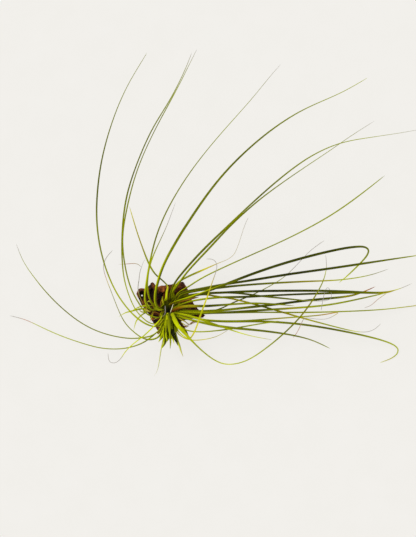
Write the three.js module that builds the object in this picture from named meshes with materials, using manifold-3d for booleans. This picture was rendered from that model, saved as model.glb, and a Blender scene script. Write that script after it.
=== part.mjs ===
// A thin-leaved air plant growing on a small lump of bark, which lies on a flat surface.
// Millimetres, +Z up. The origin is on the surface, under the middle of the bark.
import * as THREE from "three";
import { mergeVertices } from "three/addons/utils/BufferGeometryUtils.js";
import Module from "manifold-3d";

const wasm = await Module();
wasm.setup();

// Every route and outline below gives x and y as they look from straight above, from an eye at this
// height over this point of the surface. A point that stands high lies a little nearer to the eye's axis.
const EYE_HEIGHT = 1000;
const EYE_X = 30.4;
const EYE_Y = 29.2;

// The stem: a short thick axis that leans out of the bark towards the growing tip.
const STEM_REAR = new THREE.Vector3(-1.5, 3.6, 15);
const STEM_TIP = new THREE.Vector3(1, -16, 33);
const STEM_PROFILE = [[-0.3, 2.6], [-0.2, 3.8], [0, 4.6], [0.35, 5], [0.8, 5], [1.02, 4.2], [1.16, 2.6]];
const STEM_SIDES = 12;
const STEM_SURFACE = 5;

// A leaf's foot stands this deep in its slit in the stem and keeps its first heading this far outside
// it. The slit leaves this much room around it, and reaches this far along the leaf.
const ROOT_DEPTH = 1.9;
const EXIT = 1.2;
const ROOM = 0.45;
const SLIT_REACH = 16;

// How a leaf narrows from foot to tip: share of its length, share of its width.
const TAPER = [[0, 0.9], [0.05, 1], [0.3, 0.86], [0.6, 0.72], [0.8, 0.52], [0.92, 0.36], [1, 0.3]];
const SWELL_RISE = 4;
const SWELL_FALL = [0.05, 0.24];
const THREAD_WIDTH = 0.75;
const FOOT_THICKNESS = 1.15;
const TIP_THICKNESS = 0.68;
// A blade is a channel: its edges stand above its keel by this share of its width, less towards the tip.
const CHANNEL = 0.3;
// A blade starts facing the stem's tip, and faces the sky after this share of its length.
const TURN_SHARE = 0.16;

// Long leaves. A seat is [share of the stem's length, degrees round it from the right over the top].
const LEAVES = [
  { name: "leaf_nw_1", seat: [0.8, 186], width: 2.1, swell: 0.3,
    route: [
      [-10.4, -17.2, 29], [-20, -14.8, 30], [-32, -5.2, 33], [-44.2, 12, 38], [-53.6, 36, 44],
      [-58.1, 60, 49], [-58.6, 84, 53], [-54.8, 116, 57], [-45.8, 148, 58], [-35.8, 172, 56],
      [-26.8, 188, 53], [-18, 202.4, 50],
    ] },
  { name: "leaf_nw_2", seat: [0.62, 198], width: 1.9, swell: 0.3,
    route: [
      [-8, -15, 25], [-16, -14.4, 25], [-21.6, -10.4, 26], [-28, -3.2, 28], [-34.4, 12, 32],
      [-37.8, 28, 36], [-38.4, 56, 42], [-35.4, 84, 48], [-28.4, 108, 51], [-14.8, 140, 54],
      [0, 164, 54], [12, 188, 53], [17.6, 202.4, 52],
    ] },
  { name: "leaf_nw_3", seat: [0.45, 168], width: 2.1, swell: 0.3,
    route: [
      [-8, -9.6, 25], [-12, -9.6, 26], [-18.4, -7.2, 28], [-24, 0, 32], [-30.8, 12, 38],
      [-35.4, 28, 44], [-38.2, 52, 50], [-34.8, 76, 55], [-26.4, 108, 60], [-12.2, 140, 63],
      [5.2, 172, 63], [16.8, 195.2, 61], [21.6, 204.8, 60],
    ] },
  { name: "leaf_n_1", seat: [0.14, 112], width: 1.7, swell: 0.8,
    route: [
      [-3, 4.8, 23.5], [-2.6, 10.4, 25.5], [-1.6, 14.8, 27], [-6.4, 20, 28.5],
      [-12, 24.8, 29.5], [-16.8, 32.8, 31], [-21.6, 44.8, 33], [-26.4, 58.4, 35],
      [-32.8, 80, 37],
    ] },
  { name: "leaf_n_2", seat: [0.3, 160], width: 1.9, swell: 0.3,
    route: [
      [-10.4, -3.8, 21.8], [-16.8, -2.9, 24.5], [-20, 4, 30], [-19.6, 12, 36], [-17.2, 28, 44],
      [-12, 52, 55], [-2.4, 76, 64], [16, 106.4, 73], [40, 136.4, 78], [64, 163.2, 78],
      [80, 182.8, 74], [88.8, 192.8, 71],
    ] },
  { name: "leaf_n_3", seat: [0.27, 196], width: 1.5, swell: 0.3,
    route: [
      [-10.4, -1.3, 18.4], [-15.2, 2.4, 22], [-18, 12, 27], [-18, 20, 31], [-16.4, 31.2, 37],
      [-10.8, 45.6, 42], [-3.2, 61.6, 46], [4.8, 83.2, 49],
    ] },
  { name: "leaf_ne_1", seat: [0.25, 124], width: 2.3, swell: 0.3,
    route: [
      [-8, -2.6, 26.5], [-10.8, -0.4, 29], [-12, 5.6, 34], [-10.4, 16, 40], [-5.6, 31.2, 48],
      [4, 49.2, 57], [16, 68.4, 65], [40, 102, 76], [72, 133.2, 84], [104, 155.2, 86],
      [136, 169.2, 82], [159.2, 182.4, 75],
    ] },
  { name: "leaf_ne_2", seat: [0.1, 72], width: 2.3, swell: 0.3,
    route: [
      [0.5, 10.4, 24.3], [3.2, 16.8, 27.6], [8, 23.6, 33], [24, 41.6, 43.9], [40, 57.2, 54],
      [64, 80, 62], [88, 101.2, 67], [112, 118.8, 66], [136, 129.6, 58], [160, 134, 42],
      [184, 137.6, 18], [195.2, 139.6, 6], [204.8, 140.8, 0.35],
    ] },
  { name: "leaf_ne_3", seat: [0.04, 50], width: 2.1, swell: 0.3,
    route: [
      [1.4, 9.6, 20.5], [4.8, 14.4, 24], [8.8, 20, 27], [16, 29.2, 31], [32, 46, 40],
      [48, 63.2, 47], [72, 84.8, 53], [104, 107.6, 57], [128, 123.6, 56], [144, 134.8, 54],
      [164.8, 148, 51],
    ] },
  { name: "leaf_ne_4", seat: [-0.03, 20], width: 1.4, swell: 0.3,
    route: [
      [2.4, 10.8, 17.5], [5.6, 17.2, 19.5], [12, 21.6, 23], [24, 27, 28], [38.4, 33.4, 34],
      [49.6, 38.4, 37], [54.4, 47.2, 40], [59.2, 62.4, 42], [62.8, 70.4, 42],
    ] },
  { name: "leaf_ne_5", seat: [0.08, 4], width: 1.7, swell: 0.3,
    route: [
      [5.6, 9.2, 18], [13.6, 14, 20], [24, 20.8, 23], [40, 28.8, 29], [64, 39.6, 36],
      [96, 54, 42], [128, 71.2, 44], [152, 88, 42], [172.8, 104.4, 37],
    ] },
  { name: "leaf_e_1", seat: [0.28, 68], width: 2.4, swell: 0.3,
    route: [
      [8, 4, 29], [16, 6.2, 33], [28, 10.4, 39], [44, 16.4, 47], [64, 24.2, 55], [88, 32.4, 63],
      [112, 39.2, 69], [136, 44.8, 69], [148.8, 46.6, 65], [156, 46.4, 61], [159, 43.6, 57],
      [156.8, 38.4, 52], [148.8, 30, 46], [140.8, 22.4, 40], [134.8, 17.6, 36],
    ] },
  { name: "leaf_e_2", seat: [0.19, 56], width: 2.2, swell: 0.3,
    route: [
      [6.4, 8.6, 28.2], [13.6, 11.2, 29], [24, 13, 33.4], [40, 16, 42.2], [64, 19.6, 51],
      [96, 24.8, 62], [128, 29.2, 67], [160, 34, 65], [184, 37.6, 58], [203.2, 40.4, 51],
    ] },
  { name: "leaf_e_3", seat: [0.24, 18], width: 2, swell: 0.3,
    route: [
      [8, 8, 23.1], [16, 10.4, 24.4], [28, 12.6, 29.6], [40, 14, 33.3], [56, 15.6, 41],
      [80, 17.4, 48], [112, 19, 51], [136, 20, 50], [160, 23.8, 46], [175.6, 29.2, 42],
    ] },
  { name: "leaf_e_4", seat: [0.38, -49], width: 2.1, swell: 0.3,
    route: [
      [8, 5.8, 19.7], [16, 8, 23.3], [28, 9.3, 27.5], [44, 10, 31.5], [64, 11, 36.5],
      [96, 11.4, 43], [120, 11.4, 46], [144, 10.7, 46], [168, 9.8, 42], [181.6, 12.2, 38],
      [194.4, 17.6, 33],
    ] },
  { name: "leaf_e_5", seat: [0.37, 32], width: 2.2, swell: 0.3,
    route: [
      [8, 0.3, 23.5], [16, 2.9, 23.5], [24, 4.4, 23.5], [40, 6.2, 24.5], [60, 6.4, 27],
      [88, 8, 29], [120, 9.2, 30.5], [152, 10, 30], [172.8, 9.6, 27], [182.4, 12.8, 24],
    ] },
  { name: "leaf_e_6", seat: [0.5, -26], width: 2.2, swell: 0.3,
    route: [
      [8, -4.2, 20], [16, -4.8, 20], [28, -4.8, 20.5], [44, -4, 22.5], [60, -2.2, 25],
      [84, 0.4, 28.5], [108, 3.5, 31.5], [128, 5.4, 34], [144, 7.2, 36], [154.4, 10.4, 36.5],
      [164.8, 15, 36],
    ] },
  { name: "leaf_e_7", seat: [0.53, 57], width: 1.6, swell: 0.3,
    route: [
      [8, -1.8, 28.1], [17.6, -0.8, 29.8], [28, -0.9, 29.4], [44, 0.2, 28.7], [64, 1.4, 33],
      [80, 1, 34.5], [100.8, -0.8, 33],
    ] },
  { name: "leaf_e_8", seat: [0.42, 3], width: 2, swell: 0.3,
    route: [
      [8, -5.1, 24.8], [16, -5.6, 22.1], [28, -6.2, 23], [48, -5.8, 31.5], [72, -4.2, 31],
      [104, -2.1, 33], [128, 0.2, 34], [152, 5, 34.5], [165.6, 8, 35], [173.2, 9.6, 35],
      [170.4, 7.5, 34], [165.6, 4, 32], [160.8, -0.3, 29], [155.2, -2.4, 27],
    ] },
  { name: "leaf_e_9", seat: [0.61, -52], width: 1.9, swell: 0.3,
    route: [
      [9.6, -7.2, 18], [17.6, -7.4, 17], [28, -6.8, 17], [44, -6.4, 18], [72, -5.8, 20],
      [104, -6, 20], [136, -5.3, 16.5], [168, -3.8, 9], [188, -1.6, 3], [203.2, 0.4, 0.35],
    ] },
  { name: "leaf_e_10", seat: [0.43, -100], width: 1.8, swell: 0.3,
    route: [
      [8, 1.6, 12.7], [16.8, 6.4, 14.1], [27.2, 8.6, 15.5], [36, 7, 16.9], [48, 5.4, 19.5],
      [64, 1.6, 21.5], [84, -4, 23.5], [108, -11, 22.5], [132, -17.4, 24], [148, -21.1, 26],
      [157.6, -21.6, 27], [164, -19.2, 27], [168.8, -14.8, 27],
    ] },
  { name: "leaf_e_11", seat: [0.25, -40], width: 1.6, swell: 0.3,
    route: [
      [8, 5, 17.7], [17.6, 8.2, 20.2], [30.4, 9.6, 22.1], [44, 10, 24.8], [56, 9.4, 29],
      [72, 7.2, 33], [88, 5.6, 35], [108, 3.6, 36], [121.6, 3.2, 36], [128.8, 4.8, 37.5],
      [128.8, 10.4, 39.5], [126, 14.4, 40], [123.6, 9.6, 40], [122, 2.4, 40],
      [120.8, -4.8, 38.5],
    ] },
  { name: "leaf_e_12", seat: [0.62, -92], width: 1.5, swell: 0.3,
    route: [
      [3.6, -8.4, 16.8], [8.8, -4.8, 13.6], [17.6, -5.6, 11.5], [27.2, -5.8, 11],
      [40, -3.2, 11.5], [49.6, 1.6, 12.5], [64, 7.2, 14], [80, 15.2, 15.5], [92, 22.8, 16],
      [104, 34.8, 16], [112.8, 44, 15], [124, 52, 14],
    ] },
  { name: "leaf_e_13", seat: [0.68, 22], width: 2.1, swell: 0.3,
    route: [
      [8, -9.2, 29], [16, -11.6, 29.5], [28, -14.6, 30], [44, -17.7, 31], [64, -19.6, 33.5],
      [88, -22.4, 35.5], [112, -27.4, 33], [128.8, -35.2, 29],
    ] },
  { name: "leaf_e_14", seat: [0.62, 52], width: 2, swell: 0.6,
    route: [
      [8, -7.4, 31], [16, -9.2, 33], [28, -12.8, 35], [37.6, -16, 36], [48, -19.7, 37],
      [64, -24.6, 36], [82.4, -28, 33],
    ] },
  { name: "leaf_e_15", seat: [0.68, -27], width: 2.1, swell: 0.3,
    route: [
      [9.6, -7.2, 24.7], [16, -9, 22.5], [28, -12.2, 21.6], [48, -13.3, 22], [72, -13, 23],
      [104, -15.2, 22], [136, -20.4, 17], [160, -25.6, 10.5], [176, -30.4, 5.5],
      [182.4, -34.8, 3.2], [181.6, -39.2, 2.2], [176, -43.2, 1.2], [167.6, -46.2, 0.35],
    ] },
  { name: "leaf_e_16", seat: [0.56, 28], width: 1.7, swell: 0.3,
    route: [
      [8, -6.4, 27.6], [17.6, -9, 26.8], [28, -12, 26], [56, -12.8, 28.5], [72, -11.8, 30.5],
      [96, -10, 32], [120, -8.2, 32], [130.4, -6.4, 31.5], [134.8, -6.1, 31], [132, -8, 30],
      [125.6, -11.2, 29], [116, -11.2, 28.5], [108, -10.2, 28], [105.6, -13.6, 27.5],
      [102.4, -20.8, 26.5], [98.4, -26.4, 26],
    ] },
  { name: "leaf_se_1", seat: [0.86, -5], width: 1.6, swell: 0.3,
    route: [
      [8, -17.3, 29.5], [15.2, -20.8, 28], [28, -21.4, 26.5], [48, -19.2, 26.5],
      [64, -16.4, 28], [76, -14.4, 29], [88, -12.8, 29.5],
    ] },
  { name: "leaf_se_2", seat: [0.98, -35], width: 1.4, swell: 0.3,
    route: [
      [5.6, -22, 28.5], [10.4, -26, 27.5], [17.6, -28.2, 27], [28, -27.5, 26], [36, -25.6, 25],
      [41.6, -23, 24], [46.4, -20, 24],
    ] },
  { name: "leaf_se_3", seat: [0.84, 42], width: 2.3, swell: 1.6,
    route: [
      [5.2, -14.8, 35], [11.2, -21.6, 38], [20, -31.2, 42], [32, -41.8, 47], [44, -47.6, 51],
      [60, -45.2, 56], [76, -35.2, 60], [92, -22, 62], [105.6, -8, 62], [116.8, 8, 60],
      [123.2, 20.8, 57], [125.3, 31.2, 54], [124.4, 40.8, 51],
    ] },
  { name: "leaf_se_4", seat: [0.98, 8], width: 1.5, swell: 0.3,
    route: [
      [5.6, -19.6, 33], [11.2, -25.2, 34], [15.2, -27, 35], [18, -24.4, 37.5],
      [21.2, -17.6, 42], [24.4, -8, 46], [28, 1.6, 49], [31.2, 10.4, 50], [34.4, 20, 49.5],
      [37.2, 28, 48.5], [37.2, 33.6, 47.5], [34, 36.6, 47], [28.8, 36.8, 46.5],
    ] },
  { name: "leaf_w_1", seat: [0.9, 156], width: 1.9, swell: 0.3,
    route: [
      [-8, -19.2, 30.5], [-13.6, -24, 29.5], [-20, -25.8, 29], [-32, -26.8, 28],
      [-48, -24.2, 27], [-64, -18.4, 26], [-80, -8, 24], [-96, 6.8, 20], [-108, 21.2, 15.5],
      [-117.6, 35.2, 10.5], [-123.2, 49.6, 7],
    ] },
  { name: "leaf_w_2", seat: [0.88, 214], width: 1.9, swell: 0.3,
    route: [
      [-8.8, -20, 26], [-13.6, -24.4, 25], [-20, -29.2, 23.5], [-28, -32.8, 22],
      [-40, -35.2, 20.5], [-56, -34.4, 18], [-72, -30, 14.5], [-88, -24.4, 10.5],
      [-104, -17.2, 6], [-116, -11.6, 2.8], [-128.8, -8.4, 0.35],
    ] },
  { name: "leaf_w_3", seat: [1.03, 184], width: 1.4, swell: 0.3,
    route: [
      [-8.8, -25.2, 33], [-14.4, -27.6, 33], [-20.8, -27, 33], [-28, -22.4, 32.5],
      [-36, -14.4, 31.5], [-41.6, -3.2, 30], [-47.2, 11.2, 28.5], [-52, 24, 27],
      [-53.4, 32, 26], [-50.4, 38.8, 25], [-45.6, 44, 24],
    ] },
  { name: "leaf_sw_1", seat: [0.53, 140], width: 2, swell: 0.3,
    route: [
      [-7.2, -11.2, 32], [-12, -16, 33.5], [-16, -20, 36], [-21.6, -25.2, 38],
      [-29.6, -31.2, 37.5], [-36, -37.6, 35.5], [-39.6, -43.2, 33], [-44, -46.4, 31],
      [-48.6, -45.2, 29.5], [-49.6, -38.4, 28.5],
    ] },
];

// Short broad leaves of the young shoot, from the stem's tip outwards, and two thin ones beside them.
const YOUNG_LEAVES = [
  { width: 3, route: [[-3.2, -13.6, 33], [-4.4, -20, 36], [-6.4, -25.2, 37], [-9.4, -29.8, 37]] },
  { width: 3.2, route: [
    [-2.4, -14.4, 34], [-4.4, -20.8, 37], [-4, -26.4, 38.5], [-4.4, -30.4, 39], [-7, -35.4, 38],
  ] },
  { width: 2.2, route: [
    [-1.6, -14.4, 36], [-2.8, -20, 40], [-3.2, -24.8, 42], [-2.4, -28, 43], [-2.6, -30.8, 44],
  ] },
  { width: 2, route: [[-0.8, -14.4, 34], [-1.2, -20, 37.5], [-1.4, -24, 38.5], [-1.6, -29.2, 39]] },
  { width: 2.2, route: [
    [-0.2, -14.4, 34], [0.4, -20, 38], [0, -24.8, 39], [0.4, -29.6, 39], [0, -35.6, 38.5],
  ] },
  { width: 2.2, route: [
    [0.8, -14.4, 36], [1.4, -21, 39], [2, -26, 40.5], [2.8, -28.8, 41], [3.4, -31.4, 42],
  ] },
  { width: 3, route: [
    [0.6, -13.6, 34], [1.2, -20, 37], [2.4, -22.8, 37], [4, -26.4, 37], [5.6, -29.6, 36.5], [6.4, -32.4, 36],
  ] },
  { width: 2.2, route: [
    [2.2, -13.6, 32], [3.6, -20, 33.5], [4.8, -24.8, 34], [6, -28.8, 34], [7.6, -32.8, 34],
    [8.8, -36.8, 33.5], [10.6, -41.8, 33],
  ] },
  { width: 2.6, route: [[-3.2, -13.6, 31], [-5.2, -19, 32], [-6.8, -23.6, 32], [-8.6, -28.6, 31]] },
  { width: 1.4, route: [
    [-2.4, -16, 31], [-5.2, -26.4, 34], [-7.2, -36, 34], [-9.6, -50.4, 30], [-12.8, -57.4, 28],
  ] },
  { width: 2.6, route: [[-2, -9.6, 36], [-2.6, -13, 40], [-3.4, -19, 44], [-4, -23.2, 46]] },
  { width: 2.6, route: [[1.6, -9.6, 36], [2.2, -13, 40], [3.2, -19, 44], [3.8, -23.8, 46]] },
  { width: 2.8, route: [[-0.4, -9.6, 38], [-0.2, -13, 42], [0, -20, 46], [0.2, -27.4, 50]] },
];
// A pointed young leaf widens from its foot and then narrows to its tip.
const YOUNG_TAPER = [[0, 0.75], [0.35, 1], [0.6, 0.95], [0.8, 0.6], [0.92, 0.3], [1, 0.1]];
const YOUNG_HEART = 0.78;

// The open heart of the rosette: a hollow in the stem's upper side.
const HEART_HOLLOW = { x: -0.8, y: -2.2, z: 27, wide: 1.7, long: 2.7, deep: 2.6 };

// Old dried leaves that share one foot in the bark.
const DRY_FOOT = { x: -16, y: -3.2, low: 7, high: 13.5, radius: 1.5 };
const DRY_LEAVES = [
  { width: 1.6, route: [[-24, -3.2, 16], [-32, -5.2, 15], [-36, -6.4, 13.5], [-41.6, -9.6, 12]] },
  { width: 1.4, route: [[-21.6, -7.2, 14], [-26.4, -12, 13], [-28, -16, 12], [-29.2, -20.8, 11]] },
  { width: 1.2, route: [
    [-22.4, 3.2, 20], [-25, 13.6, 24], [-24.8, 24, 26], [-22, 32.4, 28], [-24.4, 34.2, 28.5],
    [-30.4, 33.6, 28], [-41.6, 32.8, 27],
  ] },
  { width: 1.3, route: [[-14.4, 0.8, 17], [-16.8, 3.2, 19], [-18.8, 1.6, 18]] },
  { width: 1.2, route: [[-19.2, -5.6, 15], [-23.2, -5.2, 15], [-25.6, -1.6, 15]] },
  { width: 1.2, route: [[-14.4, -8, 15], [-15.6, -12, 14], [-16.4, -13.6, 13.5]] },
];
const DRY_TAPER = [[0, 1], [0.5, 0.8], [1, 0.4]];

// Wiry roots that hold the stem to the bark and run out over its lower edge.
const ROOT_KNOT = { x: 1.6, y: -9, low: 6.5, high: 12.5, radius: 1.6 };
const ROOTS = [
  [[6.4, -12.8, 13], [11.2, -16.8, 11], [14.4, -16, 10], [20, -14, 8]],
  [[-4, -14.4, 13], [-6.4, -19.2, 11], [-8, -22.4, 9], [-4.8, -24, 8]],
  [[-8, -7.2, 14], [-12, -5.6, 14], [-15.2, -8.8, 13]],
  [[4.8, -6.4, 13], [11.2, -8.8, 11], [16, -11.6, 9.5]],
];
const ROOT_THICKNESS = 1.1;
const ROOT_SIDES = 5;

// The bark: its outline from above, anticlockwise, the humps of its top, and its flat foot.
const BARK_MIDDLE = [-1.6, -0.8];
const BARK_OUTLINE = [
  [28.8, -8.4], [24, -4.8], [20.8, -0.8], [18.4, 2.4], [16, 7.2], [14.4, 12], [13.2, 14.4], [11.6, 17.6],
  [10.4, 19.2], [6.4, 17.2], [2.4, 16.8], [-1.6, 16.4], [-4.8, 15.6], [-8, 15.2], [-10, 14], [-12, 16.8],
  [-13.8, 18.6], [-16, 16.4], [-17.2, 15.2], [-18, 12], [-20.4, 13.2], [-23.2, 13.6], [-25.6, 12],
  [-26.4, 8.8], [-24.4, 4], [-22.4, 0], [-19.2, -3.2], [-16.8, -7.2], [-14.4, -12], [-12.8, -14.8],
  [-10.4, -19.2], [-8, -21.6], [-1.6, -20], [4.8, -15.8], [9.6, -12.8], [14.4, -11.6], [20, -10.8],
  [26.4, -10.2],
];
const BARK_BASE = 9.5;
const BARK_HUMPS = [
  { x: -22.4, y: 8, high: 7.5, spread: 6 },
  { x: -13.6, y: 12, high: 6.5, spread: 5 },
  { x: -5.6, y: 11, high: 4, spread: 5 },
  { x: 8.8, y: 14, high: 4.5, spread: 5 },
  { x: -13, y: -10, high: 3, spread: 6 },
  { x: 22, y: -7, high: -2.5, spread: 9 },
];
// Rings of its top from the rim inwards, how much lower the rim is than the top, the height of its
// widest line and the size of its foot, all as shares.
const BARK_RINGS = [0.985, 0.9, 0.75, 0.55, 0.3];
const BARK_ROUNDING = 0.31;
const BARK_EDGE = 0.42;
const BARK_FOOT = 0.88;
const KNOT_HOLLOW = { x: -22, y: 8.4, radius: 2.6, floor: 9.5 };
const KNOT_HOLE = { x: -22.4, y: 7.6, radius: 0.9 };
const BARK_HOLLOWS = [
  { x: -14.4, y: 11, z: 15.2, wide: 1.5, long: 3, deep: 4.2 },
  { x: -7.6, y: 10.2, z: 13.4, wide: 1.5, long: 2.6, deep: 3 },
  { x: 7.4, y: 12.2, z: 13.6, wide: 2.6, long: 1.7, deep: 3 },
];

const LEAF_GREEN = 0x55640f;
const YOUNG_GREEN = 0x93a81c;
const DRY_STRAW = 0xa8a860;
const ROOT_BROWN = 0x9a5a2c;
const BARK_BROWN = 0x4a2214;

// A point read from above, at its height, in its true place.
function seenFromAbove([x, y, z]) {
  const shrink = 1 - z / EYE_HEIGHT;
  return new THREE.Vector3(EYE_X + (x - EYE_X) * shrink, EYE_Y + (y - EYE_Y) * shrink, z);
}

// The value of a table of [share, value] rows at a share from 0 to 1.
function along(table, share) {
  const next = table.findIndex(([at]) => at >= share);
  if (next <= 0) return next === 0 ? table[0][1] : table[table.length - 1][1];
  const [from, low] = table[next - 1];
  const [to, high] = table[next];
  return THREE.MathUtils.mapLinear(share, from, to, low, high);
}

// A solid from a list of points and triangles, or from a three.js geometry.
function solidOf(positions, triangles) {
  return new wasm.Manifold(new wasm.Mesh({
    numProp: 3,
    vertProperties: new Float32Array(positions),
    triVerts: new Uint32Array(triangles),
  }));
}

function solidOfGeometry(geometry) {
  geometry.deleteAttribute("normal");
  geometry.deleteAttribute("uv");
  const merged = mergeVertices(geometry, 1e-4);
  return solidOf(merged.attributes.position.array, merged.index.array);
}

// The piece's largest body: slits can leave a loose crumb.
function largestBody(solid) {
  return solid.decompose().reduce((best, body) => (body.volume() > best.volume() ? body : best));
}

function geometryOf(solid) {
  const mesh = solid.getMesh();
  const geometry = new THREE.BufferGeometry();
  geometry.setAttribute("position", new THREE.BufferAttribute(mesh.vertProperties, 3));
  geometry.setIndex(new THREE.BufferAttribute(mesh.triVerts, 1));
  geometry.computeVertexNormals();
  return geometry;
}

// A closed skin over rings of points. Each ring runs anticlockwise as seen from the last ring's side.
function skin(rings) {
  const count = rings[0].length;
  const last = (rings.length - 1) * count;
  const triangles = [];
  for (let ring = 1; ring < rings.length; ring += 1) {
    for (let i = 0; i < count; i += 1) {
      const next = (i + 1) % count;
      const [a, b] = [(ring - 1) * count + i, (ring - 1) * count + next];
      const [c, d] = [ring * count + i, ring * count + next];
      triangles.push(a, b, d, a, d, c);
    }
  }
  for (let i = 1; i < count - 1; i += 1) {
    triangles.push(0, i + 1, i);
    triangles.push(last, last + i, last + i + 1);
  }
  return solidOf(rings.flat().flatMap((point) => point.toArray()), triangles);
}

function upright(cylinder, low, high) {
  const geometry = new THREE.CylinderGeometry(cylinder.radius, cylinder.radius, high - low, 10);
  geometry.rotateX(Math.PI / 2);
  geometry.translate(cylinder.x, cylinder.y, (low + high) / 2);
  return solidOfGeometry(geometry);
}

// An egg-shaped scoop for taking a hollow out of another piece.
function scoop({ x, y, z, wide, long, deep }) {
  const egg = new THREE.SphereGeometry(1, 8, 6);
  egg.rotateX(Math.PI / 2);
  egg.scale(wide, long, deep);
  egg.translate(...seenFromAbove([x, y, z]).toArray());
  return solidOfGeometry(egg);
}

// The stem's own directions: along it, to its right, and over its top.
const STEM_LENGTH = STEM_REAR.distanceTo(STEM_TIP);
const stemAxis = STEM_TIP.clone().sub(STEM_REAR).normalize();
const stemRight = new THREE.Vector3(1, 0, 0).addScaledVector(stemAxis, -stemAxis.x).normalize();
const stemTop = stemAxis.clone().cross(stemRight);

function roundStem(share, angle, radius) {
  return STEM_REAR.clone()
    .addScaledVector(stemAxis, share * STEM_LENGTH)
    .addScaledVector(stemRight, radius * Math.cos(angle))
    .addScaledVector(stemTop, radius * Math.sin(angle));
}

function stemSolid(extra) {
  const overrun = extra / STEM_LENGTH;
  return skin(STEM_PROFILE.map(([share, radius], row) => Array.from({ length: STEM_SIDES }, (_, side) => (
    roundStem(row === 0 ? share - overrun : share, (side / STEM_SIDES) * 2 * Math.PI, radius + extra)
  ))));
}

// Places along a smooth line: each has a point, the line's direction, the blade's width direction and its
// upper side, and the share of the length behind it. A blade starts facing the stem's tip and turns to
// face the sky within its first stretch.
function stations(points, steps) {
  const curve = new THREE.CatmullRomCurve3(points, false, "centripetal");
  const count = (points.length - 1) * steps;
  const places = Array.from({ length: count + 1 }, (_, i) => ({
    point: curve.getPoint(i / count),
    ahead: curve.getTangent(i / count),
    reached: 0,
  }));
  for (let i = 1; i <= count; i += 1) {
    places[i].reached = places[i - 1].reached + places[i].point.distanceTo(places[i - 1].point);
  }
  for (const place of places) {
    place.share = place.reached / places[count].reached;
    const turn = THREE.MathUtils.smoothstep(place.share, 0, TURN_SHARE);
    const facing = stemAxis.clone().lerp(new THREE.Vector3(0, 0, 1), turn);
    place.across = facing.clone().cross(place.ahead).normalize();
    place.up = place.ahead.clone().cross(place.across);
  }
  return places;
}

function at(place, across, up) {
  return place.point.clone().addScaledVector(place.across, across).addScaledVector(place.up, up);
}

// A channelled blade: a keel below, a groove above and two edges.
function bladeSize(place, { width, swell }, narrowing) {
  const sheath = THREE.MathUtils.smoothstep(place.reached, ROOT_DEPTH, ROOT_DEPTH + SWELL_RISE)
    * (1 - THREE.MathUtils.smoothstep(place.share, ...SWELL_FALL));
  const wide = width * along(narrowing, place.share) + swell * sheath;
  return {
    half: Math.max(wide, THREAD_WIDTH) / 2,
    thick: THREE.MathUtils.lerp(FOOT_THICKNESS, TIP_THICKNESS, Math.sqrt(place.share)),
    lift: wide * CHANNEL * (1 - place.share) ** 1.5,
  };
}

function section(place, leaf, narrowing) {
  const { half, thick, lift } = bladeSize(place, leaf, narrowing);
  return [
    at(place, 0, -thick / 2 - lift / 2),
    at(place, half, lift / 2),
    at(place, 0, thick / 2 - lift / 2),
    at(place, -half, lift / 2),
  ];
}

function blade(places, leaf, narrowing) {
  return skin(places.map((place) => section(place, leaf, narrowing)));
}

// The room that a leaf's foot needs: a chain of boxes, one around each piece of its first stretch.
function slit(places, leaf) {
  const sections = places.filter((place) => place.reached < SLIT_REACH)
    .map((place) => ({ place, corners: section(place, leaf, TAPER) }));
  const boxes = sections.slice(1).map(({ place, corners }, i) => {
    const before = sections[i];
    const ahead = place.point.clone().sub(before.place.point).normalize();
    const up = ahead.clone().cross(place.across.clone().add(before.place.across)).normalize();
    const across = up.clone().cross(ahead);
    const frame = new THREE.Matrix4().makeBasis(ahead, across, up);
    const turnedBack = frame.clone().transpose();
    const bounds = new THREE.Box3().setFromPoints(
      [...before.corners, ...corners].map((corner) => corner.clone().applyMatrix4(turnedBack)),
    ).expandByScalar(ROOM);
    const size = bounds.getSize(new THREE.Vector3());
    const box = new THREE.BoxGeometry(size.x, size.y, size.z);
    box.translate(...bounds.getCenter(new THREE.Vector3()).toArray());
    box.applyMatrix4(frame);
    return solidOfGeometry(box);
  });
  return boxes.reduce((sum, box) => sum.add(box));
}

// A long leaf's line starts inside the stem, leaves it between straight out and towards the leaf's own
// first point, and follows its route.
function leafPlaces({ seat: [share, degrees], route }) {
  const angle = THREE.MathUtils.degToRad(degrees);
  const surface = roundStem(share, angle, STEM_SURFACE);
  const outward = surface.clone().sub(roundStem(share, angle, 0)).normalize();
  const line = route.map(seenFromAbove);
  const heading = line[0].clone().sub(surface).normalize().add(outward).normalize();
  const foot = surface.clone().addScaledVector(heading, -ROOT_DEPTH);
  const exit = surface.clone().addScaledVector(heading, EXIT);
  return stations([foot, exit, ...line], 2);
}

function youngLeaf({ width, route }) {
  const heart = roundStem(YOUNG_HEART, 0, 0);
  return blade(stations([heart, ...route.map(seenFromAbove)], 3), { width, swell: 0 }, YOUNG_TAPER);
}

function dryLeaf({ width, route }) {
  const foot = new THREE.Vector3(DRY_FOOT.x, DRY_FOOT.y, DRY_FOOT.high - 1);
  return blade(stations([foot, ...route.map(seenFromAbove)], 2), { width, swell: 0 }, DRY_TAPER);
}

function rootStrand(route) {
  const knot = new THREE.Vector3(ROOT_KNOT.x, ROOT_KNOT.y, ROOT_KNOT.high - 1);
  const places = stations([knot, ...route.map(seenFromAbove)], 2);
  return skin(places.map((place) => Array.from({ length: ROOT_SIDES }, (_, side) => {
    const angle = (side / ROOT_SIDES) * 2 * Math.PI;
    const radius = (ROOT_THICKNESS / 2) * (1 - 0.25 * place.share);
    return at(place, radius * Math.cos(angle), radius * Math.sin(angle));
  })));
}

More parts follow.
